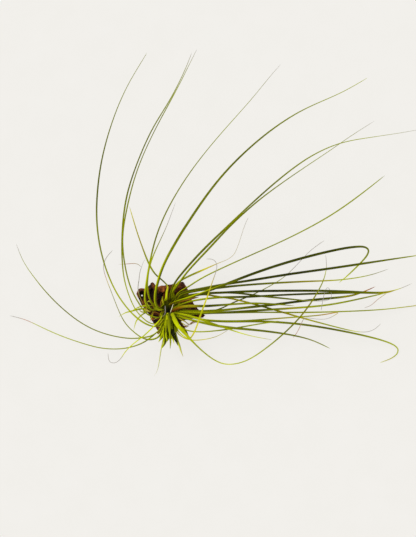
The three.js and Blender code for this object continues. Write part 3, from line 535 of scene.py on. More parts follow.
# Each long leaf's width in millimetres and its colour, both by percent of its length from the foot.
LEAF_LOOKS = {
    "nw_1": (
        [(0, 1.5), (8, 1.6), (13, 1.15), (30, 1.15), (50, 1.3), (62, 1.1), (72, 0.85), (85, 0.55),
         (100, 0.4)],
        [(0, MOSS), (10, LIME), (22, LIME), (32, MOSS), (42, MOSS), (50, DARK), (62, DARK), (72, OLIVE),
         (85, MOSS), (100, DUSTY)]),
    "nw_2": (
        [(0, 1.35), (12, 0.85), (20, 0.9), (28, 1.15), (48, 1.35), (58, 1), (75, 0.9), (85, 0.75),
         (100, 0.35)],
        [(0, LEAF), (10, LIME), (20, LIME), (30, MOSS), (45, MOSS), (55, DARK), (70, OLIVE), (82, MOSS),
         (94, DUSTY), (100, GREY)]),
    "nw_3": (
        [(0, 1.45), (12, 1.15), (30, 1.1), (45, 1.1), (55, 0.85), (70, 0.6), (80, 0.85), (90, 0.5),
         (100, 0.3)],
        [(15, LEAF), (25, MOSS), (50, MOSS), (72, OLIVE), (85, LEAF), (94, DUSTY), (100, GREY)]),
    "n_1": (
        [(0, 1.9), (14, 2), (19, 1.2), (30, 1.2), (42, 1.5), (50, 1.4), (60, 1), (85, 0.85), (100, 0.5)],
        [(0, LIME), (8, BRIGHT), (17, YELLOW), (20, LEAF), (24, DARK), (32, OLIVE), (38, LEAF), (50, LEAF),
         (62, OCHRE), (80, HAY), (96, YELLOW), (100, STRAW)]),
    "n_2": (
        [(0, 1.6), (20, 1.7), (26, 1.3), (32, 1.1), (45, 1), (52, 0.8), (65, 0.6), (78, 0.5), (100, 0.25)],
        [(0, OLIVE), (10, LEAF), (18, LIME), (25, LEAF), (30, OLIVE), (50, MOSS), (62, MOSS), (75, LEAF),
         (88, DUSTY), (100, GREY)]),
    "n_3": (
        [(0, 1.35), (25, 1.45), (48, 1.35), (55, 0.95), (65, 0.7), (75, 0.5), (85, 0.4), (100, 0.3)],
        [(0, OLIVE), (15, MOSS), (25, LEAF), (35, LIME), (50, LIME), (60, LEAF), (70, DUSTY), (85, GREY)]),
    "ne_1": (
        [(0, 1.85), (12, 2.2), (30, 2.05), (40, 1.85), (50, 1.55), (60, 1.3), (70, 1.15), (78, 0.8),
         (85, 0.6), (100, 0.4)],
        [(0, OLIVE), (12, MOSS), (20, MOSS), (30, OLIVE), (50, OLIVE), (56, DARK), (65, OLIVE), (75, MOSS),
         (85, LEAF), (100, LIME)]),
    "ne_2": (
        [(0, 1.5), (12, 1.7), (22, 1.8), (30, 1.35), (38, 1.25), (48, 1.15), (55, 1), (65, 0.7), (75, 0.55),
         (82, 0.4), (100, 0.25)],
        [(10, DARK), (25, OLIVE), (32, MOSS), (42, DARK), (52, MOSS), (65, LEAF), (75, LIME), (100, GREY)]),
    "ne_3": (
        [(0, 1.5), (20, 1.6), (30, 1.7), (38, 1.3), (46, 1.3), (52, 1), (62, 0.75), (72, 0.55), (85, 0.45),
         (100, 0.25)],
        [(0, LIME), (10, LEAF), (18, MOSS), (27, MOSS), (35, OLIVE), (45, OLIVE), (55, MOSS), (65, MOSS),
         (75, LEAF), (90, DUSTY), (100, GREY)]),
    "ne_4": (
        [(0, 1.6), (12, 1.85), (20, 1.5), (35, 1.6), (42, 1.45), (47, 1.1), (52, 0.5), (58, 0.35),
         (100, 0.3)],
        [(0, LIME), (9, GOLD), (15, GOLD), (24, LEAF), (30, LEAF), (36, HAY), (42, YELLOW), (50, STRAW),
         (100, GREY)]),
    "ne_5": (
        [(0, 1.4), (10, 1.3), (18, 1.1), (30, 1), (50, 0.9), (70, 1.05), (86, 1.05), (95, 0.7),
         (100, 0.55)],
        [(0, LEAF), (5, GOLD), (10, LEAF), (16, LIME), (22, LEAF), (30, LEAF), (40, MOSS), (60, LEAF),
         (95, LEAF), (100, DUSTY)]),
    "e_1": (
        [(0, 1.65), (12, 2), (25, 2.1), (60, 2), (72, 1.85), (78, 1.55), (85, 1.35), (94, 1.1),
         (100, 0.45)],
        [(0, AMBER), (4, MOSS), (9, LEAF), (14, OLIVE), (20, INK), (27, DARK), (33, NIGHT), (72, NIGHT),
         (78, DARK), (82, MOSS), (87, LEAF), (93, LIME), (100, BRIGHT)]),
    "e_2": (
        [(0, 1.45), (12, 1.7), (30, 1.85), (45, 1.95), (60, 1.85), (76, 1.8), (82, 1.45), (88, 1.2),
         (95, 0.85), (100, 0.4)],
        [(0, OLIVE), (10, INK), (15, DARK), (22, DARK), (30, INK), (36, SHADE), (55, SHADE), (62, NIGHT),
         (70, INK), (80, DARK), (87, OLIVE), (95, LEAF), (100, PALE)]),
    "e_3": (
        [(0, 1.8), (15, 2.05), (25, 2.05), (32, 1.65), (45, 1.55), (55, 1.45), (66, 1.3), (74, 0.95),
         (84, 0.85), (91, 0.6), (100, 0.3)],
        [(0, OLIVE), (14, MOSS), (22, INK), (32, INK), (42, DARK), (50, OLIVE), (58, GOLD), (67, OCHRE),
         (72, HAY), (77, LIME), (87, LIME), (92, DUSTY), (100, GREY)]),
    "e_4": (
        [(0, 1.6), (12, 1.8), (25, 1.9), (55, 1.9), (75, 1.8), (84, 1.6), (89, 1.1), (93, 0.6), (97, 0.4),
         (100, 0.25)],
        [(0, GOLD), (5, MOSS), (13, DARK), (20, INK), (30, NIGHT), (35, INK), (40, SHADE), (50, SHADE),
         (58, NIGHT), (70, INK), (78, DARK), (84, OLIVE), (88, OCHRE), (90.5, HAY), (93, PALE),
         (95.5, GREY)]),
    "e_5": (
        [(0, 1.5), (15, 1.6), (30, 1.85), (45, 1.6), (52, 1.5), (60, 1.6), (75, 1.75), (85, 1.75),
         (94, 1.3), (100, 0.4)],
        [(0, LIME), (5, LEAF), (12, LIME), (20, LEAF), (26, OLIVE), (33, NIGHT), (45, INK), (55, NIGHT),
         (64, INK), (76, DARK), (85, OLIVE), (93, OCHRE), (100, STRAW)]),
    "e_6": (
        [(0, 1.6), (12, 1.9), (40, 2), (55, 1.9), (75, 1.85), (88, 1.6), (93, 1.1), (96, 0.8), (100, 0.4)],
        [(0, OLIVE), (10, LEAF), (20, MOSS), (33, MOSS), (40, DARK), (50, INK), (60, NIGHT), (76, INK),
         (81, OLIVE), (85, OCHRE), (89, GOLD), (92, OLIVE), (94.5, TAN), (97.5, RUST), (100, ROSE)]),
    "e_7": (
        [(12, 2.85), (20, 2.15), (30, 2.05), (42, 1.7), (55, 1.55), (70, 1.45), (85, 1.15), (100, 0.4)],
        [(0, RUST), (7, AMBER), (13, OCHRE), (20, OCHRE), (25, DARK), (31, NIGHT), (37, INK), (43, OLIVE),
         (50, MOSS), (65, MOSS), (82, OLIVE), (92, MOSS), (100, DUSTY)]),
    "e_8": (
        [(0, 1.6), (10, 1.85), (35, 1.85), (45, 1.7), (60, 1.5), (75, 1.3), (85, 1), (89, 0.5), (93, 0.4),
         (100, 0.35)],
        [(8, LIME), (14, LEAF), (20, DARK), (26, INK), (36, INK), (44, OLIVE), (50, OCHRE), (56, LEAF),
         (70, LEAF), (80, MOSS), (87, LIME), (90, STRAW), (94, ROSE), (100, GREY)]),
    "e_9": (
        [(0, 1.15), (15, 1.25), (30, 1.15), (38, 1.15), (50, 1.25), (60, 1.15), (70, 1.05), (85, 0.85),
         (100, 0.6)],
        [(0, AMBER), (5, LEAF), (20, LEAF), (32, MOSS), (40, LEAF), (50, LEAF), (60, LIME), (75, LEAF),
         (86, LIME), (100, HAY)]),
    "e_10": (
        [(0, 1.45), (15, 1.55), (30, 1.4), (62, 1.4), (75, 1.1), (84, 0.9), (90, 0.5), (100, 0.35)],
        [(0, GOLD), (5, MOSS), (14, OLIVE), (20, DARK), (27, OCHRE), (35, HAY), (41, OCHRE), (45, DARK),
         (50, DARK), (53, GOLD), (58, OCHRE), (66, HAY), (76, LEAF), (84, LEAF), (88, PALE), (92, GREY)]),
    "e_11": (
        [(0, 1.65), (15, 1.8), (35, 1.6), (55, 1.4), (64, 1.2), (70, 0.7), (76, 0.5), (84, 0.3),
         (88, 0.45)],
        [(0, GOLD), (6, OLIVE), (12, MOSS), (18, INK), (25, DARK), (35, INK), (45, INK), (55, DARK),
         (66, OLIVE), (72, DUSTY), (78, GREY)]),
    "e_12": (
        [(0, 1.1), (20, 1.2), (40, 1.05), (50, 1), (56, 0.75), (64, 0.6), (80, 0.45), (88, 0.4), (93, 0.45),
         (100, 0.4)],
        [(0, MOSS), (8, LIME), (18, LEAF), (28, DARK), (40, DARK), (48, INK), (53, DARK), (57, MOSS),
         (66, LEAF), (72, DUSTY), (78, GREY)]),
    "e_13": (
        [(0, 1.55), (15, 1.8), (25, 2), (35, 2.15), (45, 1.8), (55, 1.7), (70, 1.45), (78, 1.1), (90, 0.95),
         (100, 0.55)],
        [(0, LEAF), (8, LIME), (15, LEAF), (27, LEAF), (34, MOSS), (40, OLIVE), (46, OLIVE), (60, DARK),
         (68, OLIVE), (78, OLIVE), (88, DUSTY), (95, MOSS), (100, LEAF)]),
    "e_14": (
        [(0, 1.6), (20, 1.75), (40, 1.5), (50, 1.25), (60, 1.05), (68, 0.85), (80, 0.6), (100, 0.35)],
        [(0, MOSS), (10, LEAF), (20, LEAF), (28, LIME), (36, LEAF), (44, MOSS), (52, LEAF), (62, LIME),
         (68, BRIGHT), (74, PALE), (88, PALE), (100, GREY)]),
    "e_15": (
        [(0, 1.55), (15, 1.7), (40, 1.75), (60, 1.6), (75, 1.45), (86, 1.2), (93, 0.95), (97, 0.6),
         (100, 0.4)],
        [(0, LEAF), (8, LIME), (14, LEAF), (20, MOSS), (28, OLIVE), (40, MOSS), (50, OLIVE), (60, DARK),
         (73, MOSS), (80, LEAF), (88, LIME), (93, LIME), (97, HAY), (100, PALE)]),
    "e_16": (
        [(30, 1.4), (45, 1.2), (60, 1), (70, 0.8), (75, 0.5), (80, 0.35), (88, 0.35), (92, 0.5),
         (100, 0.45)],
        [(10, LIME), (18, MOSS), (30, MOSS), (40, OLIVE), (48, OCHRE), (57, LEAF), (64, OCHRE), (71, TAN),
         (75, STRAW), (79, GREY), (90, GREY), (95, ROSE)]),
    "se_1": (
        [(0, 1.25), (12, 1.15), (25, 1.05), (42, 1.05), (55, 1.25), (75, 1.05), (100, 0.95)],
        [(0, LEAF), (15, LIME), (25, LIME), (42, LEAF), (50, MOSS), (62, OLIVE), (70, LEAF)]),
    "se_2": (
        [(0, 0.8), (20, 0.75), (50, 0.7), (70, 0.55), (82, 0.4), (100, 0.3)],
        [(0, LEAF), (12, YELLOW), (60, YELLOW), (75, HAY), (100, STRAW)]),
    "se_3": (
        [(0, 0.9), (2, 2.2), (4.5, 3.4), (7.5, 3.4), (11, 2.1), (15, 1.3), (22, 1.05), (30, 0.9),
         (40, 0.85), (50, 1), (65, 1.2), (78, 1.15), (86, 0.85), (92, 0.6), (95, 0.45), (100, 0.3)],
        [(5, BRIGHT), (7.5, LIME), (12, LIME), (17, LEAF), (24, LEAF), (29, LIME), (33, PALE), (37, LIME),
         (44, LIME), (52, LEAF), (62, OLIVE), (76, GOLD), (83, MOSS), (89, LEAF), (93, PALE),
         (95.5, GREY)]),
    "se_4": (
        [(15, 1.05), (30, 1.25), (50, 1.35), (64, 1.15), (70, 0.8), (78, 0.6), (100, 0.4)],
        [(0, YELLOW), (12, BRIGHT), (20, YELLOW), (35, YELLOW), (45, LIME), (58, YELLOW), (66, HAY),
         (74, STRAW), (82, GREY)]),
    "w_1": (
        [(0, 1.3), (12, 1.2), (20, 0.9), (35, 0.85), (70, 0.85), (80, 0.6), (88, 0.45), (100, 0.35)],
        [(10, LEAF), (20, MOSS), (35, MOSS), (60, OLIVE), (72, MOSS), (80, LEAF), (87, LEAF), (93, DUSTY),
         (97, GREY)]),
    "w_2": (
        [(10, 1.2), (20, 1.05), (30, 0.85), (50, 0.8), (75, 0.7), (85, 0.5), (100, 0.4)],
        [(0, DARK), (5, MOSS), (15, MOSS), (30, LEAF), (50, LEAF), (65, LIME), (84, LIME), (87, ROSE),
         (91, ROSE), (94, GREY)]),
    "w_3": (
        [(0, 1.4), (15, 1.45), (20, 1.1), (30, 0.8), (40, 0.8), (55, 0.55), (70, 0.5), (80, 0.45),
         (86, 0.55), (93, 0.55), (100, 0.35)],
        [(0, DARK), (10, MOSS), (25, LEAF), (40, MOSS), (50, DUSTY), (66, DUSTY), (72, STRAW), (78, ROSE),
         (82, GREY)]),
    "sw_1": (
        [(0, 1.1), (14, 1.15), (30, 1.05), (45, 0.9), (60, 0.8), (70, 0.7), (76, 0.5), (100, 0.4)],
        [(0, AMBER), (7, LEAF), (12, LIME), (22, BRIGHT), (30, BRIGHT), (40, LIME), (50, BRIGHT),
         (62, PALE), (70, PALE), (76, GREY)]),
}

# Painted highlights on the margins towards the light, where they aren't bright.
MARGIN_HIGHLIGHTS = {
    "e_2": OLIVE, "e_3": LEAF, "e_4": OLIVE, "e_6": MOSS, "e_7": OCHRE, "e_8": LEAF, "e_9": LIME,
    "e_11": MOSS, "e_12": LIME, "ne_2": MOSS, "nw_1": LIME, "se_2": YELLOW,
}

# How far along a leaf its painted highlight and painted shade on the margins reach, as a share of its
# length. At 2 they reach its tip.
LONG_LEAF_REACH = 0.28
DRY_LEAF_REACH = 0.6
WHOLE_LEAF = 2.0

for key, (widths, stops) in LEAF_LOOKS.items():
    look = leaf_finish("skin_" + key, stops, MARGIN_HIGHLIGHTS.get(key, BRIGHT), LONG_LEAF_REACH)
    leaf_piece("leaf_" + key, widths, look)

# The crown: its stem, its short young leaves, the pale rims round its heart, and dark strips of painted
# shade among them

# The stem's radius in millimetres by share of the way from its rear to its tip, and its lengthwise ridges.
CROWN_PROFILE = [(-0.3, 2.4), (-0.18, 3.8), (0.0, 4.4), (0.35, 4.8), (0.8, 4.7), (1.02, 3.9), (1.16, 2.0)]
STEM_CORNERS = 20
RIDGES = 9
RIDGE_HEIGHT = 0.00025
HEART = Vector((-0.5, -3.0, 26.2)) * MM
HEART_REACH = 0.0062
HEART_DEPTH = 0.0022


def stem_piece():
    """The short thick stem, drawn out ring by ring along its axis, with a sunken heart."""
    axis = (STEM_TIP - STEM_REAR).normalized()
    length = (STEM_TIP - STEM_REAR).length
    profile = [(share, radius * MM) for share, radius in CROWN_PROFILE]
    turn = axis.to_track_quat("Z", "Y").to_euler()
    piece = draw_out("fine_stem", STEM_CORNERS, profile, STEM_REAR, axis * length, turn)
    round_off(piece, 3)
    apply_all(piece)
    rear, heart = point_numbers(piece.data, "rear", "heart")
    for vertex in piece.data.vertices:
        place = vertex.co - STEM_REAR
        share = place.dot(axis) / length
        out = (place - axis * length * share).normalized()
        ridge = math.sin(math.atan2(out.x, out.z) * RIDGES + share * 7.0)
        sunk = 1.0 - smooth((vertex.co - HEART).length, 0.3 * HEART_REACH, HEART_REACH)
        vertex.co += out * (RIDGE_HEIGHT * ridge - HEART_DEPTH * sunk)
        rear[vertex.index].value = share
        heart[vertex.index].value = sunk
    return piece


def stem_finish():
    """Fibrous and dark, from a brown rear to a mossy tip, with painted shade almost black in the sunken
    heart.
    """
    finish = Finish("skin_stem")
    grain = finish.noise(600.0, 3.0, vector=finish.stretched((1.0, 0.25, 0.25)))
    body = finish.ramp(finish.measure("rear") + (grain - 0.5) * 0.25, [
        (0.0, MAROON), (0.2, NIGHT), (0.45, NIGHT), (0.6, DARK), (0.85, OLIVE), (1.0, MOSS),
    ])
    body = finish.blend(finish.band(grain, 0.5, 0.75) * 0.2, body, AMBER)
    # Painted shade in the sunken heart.
    body = finish.blend(finish.measure("heart"), body, BLACKISH)
    bumps = finish.bump(grain, strength=0.6, distance=0.0004)
    return finish.done(Base_Color=body, Roughness=0.7, Specular_IOR_Level=0.03, Normal=bumps)


finish_piece(stem_piece(), stem_finish(), "crown")

# Half widths of the model leaf by share of its length, and how far its groove and keel lie below its edges.
YOUNG_FORM = [
    (0.0, 0.36), (0.1, 0.42), (0.25, 0.47), (0.42, 0.5), (0.56, 0.48), (0.68, 0.42), (0.78, 0.33),
    (0.86, 0.23), (0.92, 0.14), (0.97, 0.06), (1.0, 0.02),
]
GROOVE_DEPTH = 0.16
KEEL_DEPTH = 0.34
STRAND_RINGS = 12

# A drawn leaf's line has this many steps between two points of its route.
ROUTE_STEPS = 6
# The models lie along X, so their flat ends are turned to face it.
MODEL_WAY = Vector((1.0, 0.0, 0.0))
MODEL_TURN = (0.0, math.pi / 2, 0.0)


def model_leaf():
    """A straight leaf of length 1 and width 1, drawn out from a small square at its foot."""
    piece = draw_out("model_leaf", 4, YOUNG_FORM, Vector(), MODEL_WAY, MODEL_TURN)
    along, upper, lit = point_numbers(piece.data, "along", "upper", "lit")
    levels = {}
    for vertex in piece.data.vertices:
        half = table(YOUNG_FORM, vertex.co.x)
        level = round(vertex.co.z / half)
        levels[vertex.index] = level
        along[vertex.index].value = vertex.co.x
        upper[vertex.index].value = 0.5 + 0.5 * level
        lit[vertex.index].value = round(vertex.co.y / half)
        vertex.co.z = (0.0, -GROOVE_DEPTH, -KEEL_DEPTH)[level] * 2.0 * half
    keep_margins(piece.data, lambda first, second: levels[first] == levels[second] == 0)
    return piece


def model_strand():
    """A straight round strand of length 1 and width 1 that thins unevenly towards its end."""
    profile = [(0.0, 0.5)]
    for step in range(STRAND_RINGS):
        thinner = 0.93 + 0.05 * math.sin(step * 2.1)
        profile.append(((step + 1) / STRAND_RINGS, profile[-1][1] * thinner))
    piece = draw_out("model_strand", 6, profile, Vector(), MODEL_WAY, MODEL_TURN)
    point_numbers(piece.data, "lit")
    return piece


def drawn_leaf(name, model, width, points, finish, node, tilt=0.0):
    """A copy of a model, bent along some points. It faces up, or is rolled round its length by a tilt."""
    line = curve_through(points, ROUTE_STEPS)
    length = sum((b - a).length for a, b in zip(line, line[1:]))
    guide = bpy.data.curves.new(name + "_guide", "CURVE")
    guide.dimensions = "3D"
    guide.twist_mode = "Z_UP"
    spline = guide.splines.new("POLY")
    spline.points.add(len(line) - 1)
    for point, place in zip(spline.points, line):
        point.co = (*place, 1.0)
        point.tilt = tilt
    path = bpy.data.objects.new(name + "_guide", guide)
    scene.collection.objects.link(path)
    piece = bpy.data.objects.new(name, model.data.copy())
    scene.collection.objects.link(piece)
    heading = (line[-1] - line[0]).normalized()
    # How much one side of the leaf faces the light, which sets its painted highlight and painted shade.
    facing = Vector((-heading.y, heading.x, 0.0)).dot(LIT_SIDE)
    for item in piece.data.attributes["lit"].data:
        item.value *= facing
    take_up(piece)
    piece.scale = (length, width * MM, width * MM)
    bpy.ops.object.transform_apply()
    round_off(piece, 2)
    bend = piece.modifiers.new("bend", "CURVE")
    bend.object = path
    apply_all(piece)
    bpy.data.objects.remove(path)
    finish_piece(piece, finish, node)


# The young leaves: width in millimetres, colours by percent of its length, colour of the painted highlight
# on its margin towards the light, and its route as seen from the eye.
YOUNG_LEAVES = [
    (3.2, [(0, OLIVE), (50, NIGHT), (75, MOSS), (100, BRIGHT)], BRIGHT,
     [(-2.6, -12, 33), (-4.4, -20, 36), (-6.4, -25.2, 37), (-9.4, -29.8, 37)]),
    (3.4, [(0, OLIVE), (45, NIGHT), (70, NIGHT), (88, LEAF), (100, BRIGHT)], BRIGHT,
     [(-2.4, -12.8, 34), (-4.4, -20.8, 37), (-4, -26.4, 38.5), (-4.4, -30.4, 39), (-7, -35.4, 38)]),
    (1.7, [(0, OLIVE), (50, LEAF), (100, BRIGHT)], LIME,
     [(-1.6, -13, 36), (-2.8, -20, 40), (-3.2, -24.8, 42), (-2.4, -28, 43), (-2.6, -30.8, 44)]),
    # A near-black strip between young leaves: painted shade.
    (1.6, [(0, NIGHT), (50, BLACKISH), (90, NIGHT), (100, LEAF)], NIGHT,
     [(-1.8, -14, 35), (-2.4, -20, 39), (-3, -24, 40), (-3.6, -29.2, 40)]),
    (1.9, [(0, OLIVE), (40, MOSS), (60, LEAF), (85, LIME), (100, OLIVE)], LIME,
     [(-0.2, -13, 34), (0.4, -20, 38), (0, -24.8, 39), (0.4, -29.6, 39), (0, -35.6, 38.5)]),
    (1.9, [(0, OLIVE), (50, LEAF), (100, BRIGHT)], BRIGHT,
     [(0.8, -14.4, 36), (1.4, -21, 39), (2, -26, 40.5), (2.8, -28.8, 41), (3.4, -31.4, 42)]),
    # The broad near-black wedge beneath the young leaves: painted shade.
    (3.4, [(0, OLIVE), (30, NIGHT), (42, BLACKISH), (85, BLACKISH), (100, LEAF)], BLACKISH,
     [(0.4, -12, 35), (1, -18, 39), (2, -21.6, 41), (3.6, -25.6, 41), (5.2, -29.2, 40),
      (6.4, -32.8, 39)]),
    (2, [(0, LEAF), (40, LIME), (70, PALE), (100, STRAW)], BRIGHT,
     [(2.2, -13, 32), (3.6, -20, 33.5), (4.8, -24.8, 34), (6, -28.8, 34), (7.6, -32.8, 34),
      (8.8, -36.8, 33.5), (10.6, -41.8, 33)]),
    (2.4, [(0, MOSS), (50, NIGHT), (100, LIME)], LIME,
     [(-3.2, -12, 31), (-5.2, -19, 32), (-6.8, -23.6, 32), (-8.6, -28.6, 31)]),
    (0.8, [(0, LEAF), (40, PALE), (100, WHITE)], PALE,
     [(-2.4, -16, 31), (-5.2, -26.4, 34), (-7.2, -36, 34), (-9.6, -50.4, 30), (-12.8, -57.4, 28)]),
    (3.2, [(0, NIGHT), (25, OLIVE), (50, MOSS), (80, OLIVE)], LIME,
     [(-1.8, -6.8, 33), (-2.2, -13, 38), (-2.8, -18, 40), (-3.4, -22.6, 41)]),
    (2, [(0, NIGHT), (40, DARK), (70, OLIVE), (100, MOSS)], MOSS,
     [(0.8, -6.8, 33), (1, -13, 37), (1.4, -17, 39), (2.2, -21, 40)]),
    (2.8, [(0, NIGHT), (30, OLIVE), (60, MOSS), (100, LIME)], LEAF,
     [(-0.6, -6.6, 34), (-0.6, -13, 39), (-0.4, -19, 42), (-0.2, -25.4, 44)]),
]

# Old sheaths and their dry rims, in the same terms, and dark strips that are painted shade.
SHEATHS = [
    (0.9, [(30, DUSK), (42, STRAW), (70, HAY)], GREY,
     [(-3.9, -0.2, 29), (-3.7, -4, 30), (-3.9, -6.8, 29.5), (-5.2, -8.8, 28), (-7.6, -9.7, 25),
      (-10.4, -10.4, 20), (-13.6, -12, 14)]),
    # A pale sheath rim by the heart, its white partly a painted highlight.
    (0.55, [(0, STRAW), (30, WHITE), (80, WHITE), (100, PALE)], WHITE,
     [(2.7, 1, 33), (1.8, -1.6, 35), (0.9, -4.2, 36), (0, -6.8, 36.5)]),
    (1.3, [(0, OLIVE), (50, HAY), (100, LEAF)], MOSS, [(-5.8, 7.2, 20), (-6, 3.4, 24), (-4.6, -0.6, 26)]),
    (2.4, [(0, OLIVE), (50, LEAF), (100, MOSS)], OLIVE,
     [(-13.4, -1.8, 20), (-9.4, -3.6, 23), (-4.8, -3.6, 25)]),
    (1.4, [(0, STRAW), (50, LIME), (100, LEAF)], OLIVE,
     [(-11, -17.1, 21), (-7.2, -17, 24), (-4, -16.3, 28), (-1.6, -13.8, 32)]),
    (2, [(0, STRAW), (60, TAN), (100, AMBER)], AMBER,
     [(-10, -23.4, 24), (-7.6, -20, 26), (-4.4, -16.8, 28)]),
    (1.7, [(0, OLIVE), (50, MOSS), (100, STRAW)], OLIVE,
     [(-3.6, -7.6, 31), (-4, -11.6, 30), (-5.6, -14.4, 27), (-7.4, -18, 22)]),
    (2.2, [(0, MOSS), (50, LEAF), (80, MOSS), (100, OLIVE)], AMBER,
     [(3, -7.6, 27), (8, -9.3, 22), (12, -10.8, 16), (17, -12.2, 11)]),
    (2.4, [(0, RUST), (40, AMBER), (70, TAN), (100, AMBER)], LEAF,
     [(3.6, -2.6, 27), (11.2, -1.4, 21), (16.8, -1.2, 16), (24, -1.8, 12)]),
    # A dark strip beside the bright young blade: painted shade.
    (2.3, [(0, INK), (25, CHAR), (60, MAROON), (80, CHAR), (100, INK)], CHAR,
     [(2.4, -7.4, 29), (6.2, -11.9, 28), (9.1, -15.8, 27), (12.1, -20, 25), (15.2, -25, 23)]),
    (4.6, [(0, NIGHT), (30, OLIVE), (50, LEAF), (80, MOSS), (100, DARK)], BRIGHT,
     [(-0.8, -5.6, 31), (-0.7, -10, 36), (-0.5, -15, 38), (-0.3, -20, 38.5)]),
    # A broad dark sheet under the young leaves: painted shade.
    (5, [(40, NIGHT), (80, INK), (100, OLIVE)], DARK,
     [(-0.6, -14, 31), (-1, -20, 33.5), (-1.6, -25, 35), (-2, -29, 35.5)]),
    (3.4, [(0, LEAF), (25, LIME), (60, BRIGHT), (100, LIME)], BRIGHT,
     [(1.4, -6, 33.5), (3, -10.4, 36), (6, -16, 36), (9.6, -22, 34.5)]),
    (2.2, [(0, DARK), (30, AMBER), (60, TAN), (100, RUST)], OCHRE,
     [(4, 1.2, 27), (10, 3.4, 23), (17, 5.2, 18), (23.5, 6.4, 13)]),
    (1, [(0, OLIVE), (40, YELLOW), (100, HAY)], LIME,
     [(-3, -7.6, 30), (-6.4, -12.8, 28), (-10.4, -17, 25)]),
    (1.2, [(0, OLIVE), (40, HAY), (100, STRAW)], LIME, [(-3, -10, 31), (-6, -15.6, 29), (-9.4, -20.8, 27)]),
    (1.4, [(0, AMBER), (50, OCHRE), (100, HAY)], YELLOW,
     [(-3.4, -12.4, 30), (-5.4, -17.6, 29), (-8, -22.8, 28)]),
]

leaf_model = model_leaf()
for kind, skin, rows in (("young_leaf", "young_skin", YOUNG_LEAVES), ("sheath", "sheath_skin", SHEATHS)):
    for number, (width, stops, edge, route) in enumerate(rows, 1):
        points = [seen(*place) for place in route]
        look = leaf_finish(f"{skin}_{number}", stops, edge, WHOLE_LEAF)
        drawn_leaf(f"{kind}_{number}", leaf_model, width, points, look, "crown")

# How far a sheath lies from the stem's axis in millimetres, by share of its length.
SHEATH_FORM = [(0, 3.6), (0.3, 4.9), (0.6, 5.3), (0.85, 5.5), (1, 6)]
TIP_FORM = [(0, 3.4), (0.3, 4.8), (0.6, 4.6), (0.85, 3.6), (1, 2.9)]
# Rows of overlapping sheaths round the stem's sides and underside: how far along the stem a row starts, the
# angles round it from the top in degrees, and its form. The first rows are old and dry.
SHEATH_ROWS = [
    (-0.12, (60, 100, 140, 180, 220, 260, 300), SHEATH_FORM),
    (0.12, (80, 120, 160, 200, 240, 280), SHEATH_FORM),
    (0.36, (100, 140, 180, 220, 260), SHEATH_FORM),
    (0.58, (120, 160, 200, 240), SHEATH_FORM),
    (0.72, (70, 110, 150, 190, 230, 270), TIP_FORM),
    (0.86, (90, 130, 170, 210, 250, 290), TIP_FORM),
]
LAST_OLD_ROW = 0.12
SHEATH_LENGTH = 0.52
SHEATH_WIDTH = 4.4


def clad_colours(number, old):
    """The colours from foot to tip and the painted highlight on the margin towards the light: browns on an
    old sheath, greens on a living one.
    """
    if old:
        first = (AMBER, GOLD, RUST)[number % 3]
        second = (OCHRE, MOSS)[number % 2]
        return [(0, RUST), (35, first), (70, second), (100, (TAN, STRAW, DUSTY)[number % 3])], TAN
    first = (OLIVE, MOSS)[number % 2]
    return [(0, GOLD), (35, first), (80, LEAF), (100, (LIME, STRAW, LEAF)[number % 3])], LIME


def clad_stem():
    """Lays the rows of sheaths on the stem. No two have quite the same angle and length."""
    axis = STEM_TIP - STEM_REAR
    way = axis.normalized()
    over = (Vector((0.0, 0.0, 1.0)) - way * way.z).normalized()
    aside = way.cross(over)
    sheaths = [(start, angle, form) for start, angles, form in SHEATH_ROWS for angle in angles]
    for number, (start, angle, form) in enumerate(sheaths, 1):
        turn = math.radians(angle + 9.0 * math.sin(number * 2.3))
        out = over * math.cos(turn) + aside * math.sin(turn)
        length = SHEATH_LENGTH * (0.9 + 0.15 * math.sin(number * 1.7))
        points = [STEM_REAR + axis * (start + length * share) + out * radius * MM for share, radius in form]
        stops, edge = clad_colours(number, start <= LAST_OLD_ROW)
        look = leaf_finish(f"clad_skin_{number}", stops, edge, WHOLE_LEAF)
        drawn_leaf(f"clad_{number}", leaf_model, SHEATH_WIDTH, points, look, "crown", turn)


clad_stem()

# The bark, the old dried leaves and the roots

# The bark's hollows, darkened with painted shade, as ellipses: middle and half widths in millimetres.
PITS = [
    (-22, 8, 2.6, 5.2), (-14.2, 9.6, 1.9, 5.4), (-7, 5.4, 3.4, 5.4), (-12, -8.8, 4, 1.4),
    (-11.6, -13, 2.6, 1.6),
]
# The fineness of the bark's surface and the depth of its relief, which grows from nothing at its flat foot
# to its full depth between these heights, all in metres.
BARK_GRID = 0.0006
BARK_RELIEF = 0.0009
RELIEF_FROM = 0.0005
RELIEF_WHOLE = 0.003


def bark_piece():
    """The lump of bark: rounded, with corky ridges and pits over its top, its flat foot kept."""
    piece = copy_of("bark", "fine_bark")
    remesh = piece.modifiers.new("even", "REMESH")
    remesh.mode = "VOXEL"
    remesh.voxel_size = BARK_GRID
    soften = piece.modifiers.new("soften", "SMOOTH")
    soften.iterations = 4
    apply_all(piece)
    # Each point's height in the relief, and how far it lies in a pit, where the finish paints shade.
    raised, sunk = point_numbers(piece.data, "raised", "sunk")
    for vertex in piece.data.vertices:
        place = vertex.co / MM
        broad = noise.noise(Vector((place.x * 0.2, place.y * 0.12, place.z * 0.15)))
        corky = 0.5 - abs(noise.noise(place * 0.3)) * 2.0
        fine = noise.noise(place * 1.2)
        depth = min(math.hypot((place.x - x) / wide, (place.y - y) / long) for x, y, wide, long in PITS)
        pit = 1.0 - smooth(depth, 0.55, 1.15)
        height = 0.7 * broad + 0.5 * corky + 0.16 * fine - 0.8 * pit
        vertex.co += vertex.normal * BARK_RELIEF * height * smooth(vertex.co.z, RELIEF_FROM, RELIEF_WHOLE)
        raised[vertex.index].value = 0.5 + 0.5 * height
        sunk[vertex.index].value = pit
    return piece


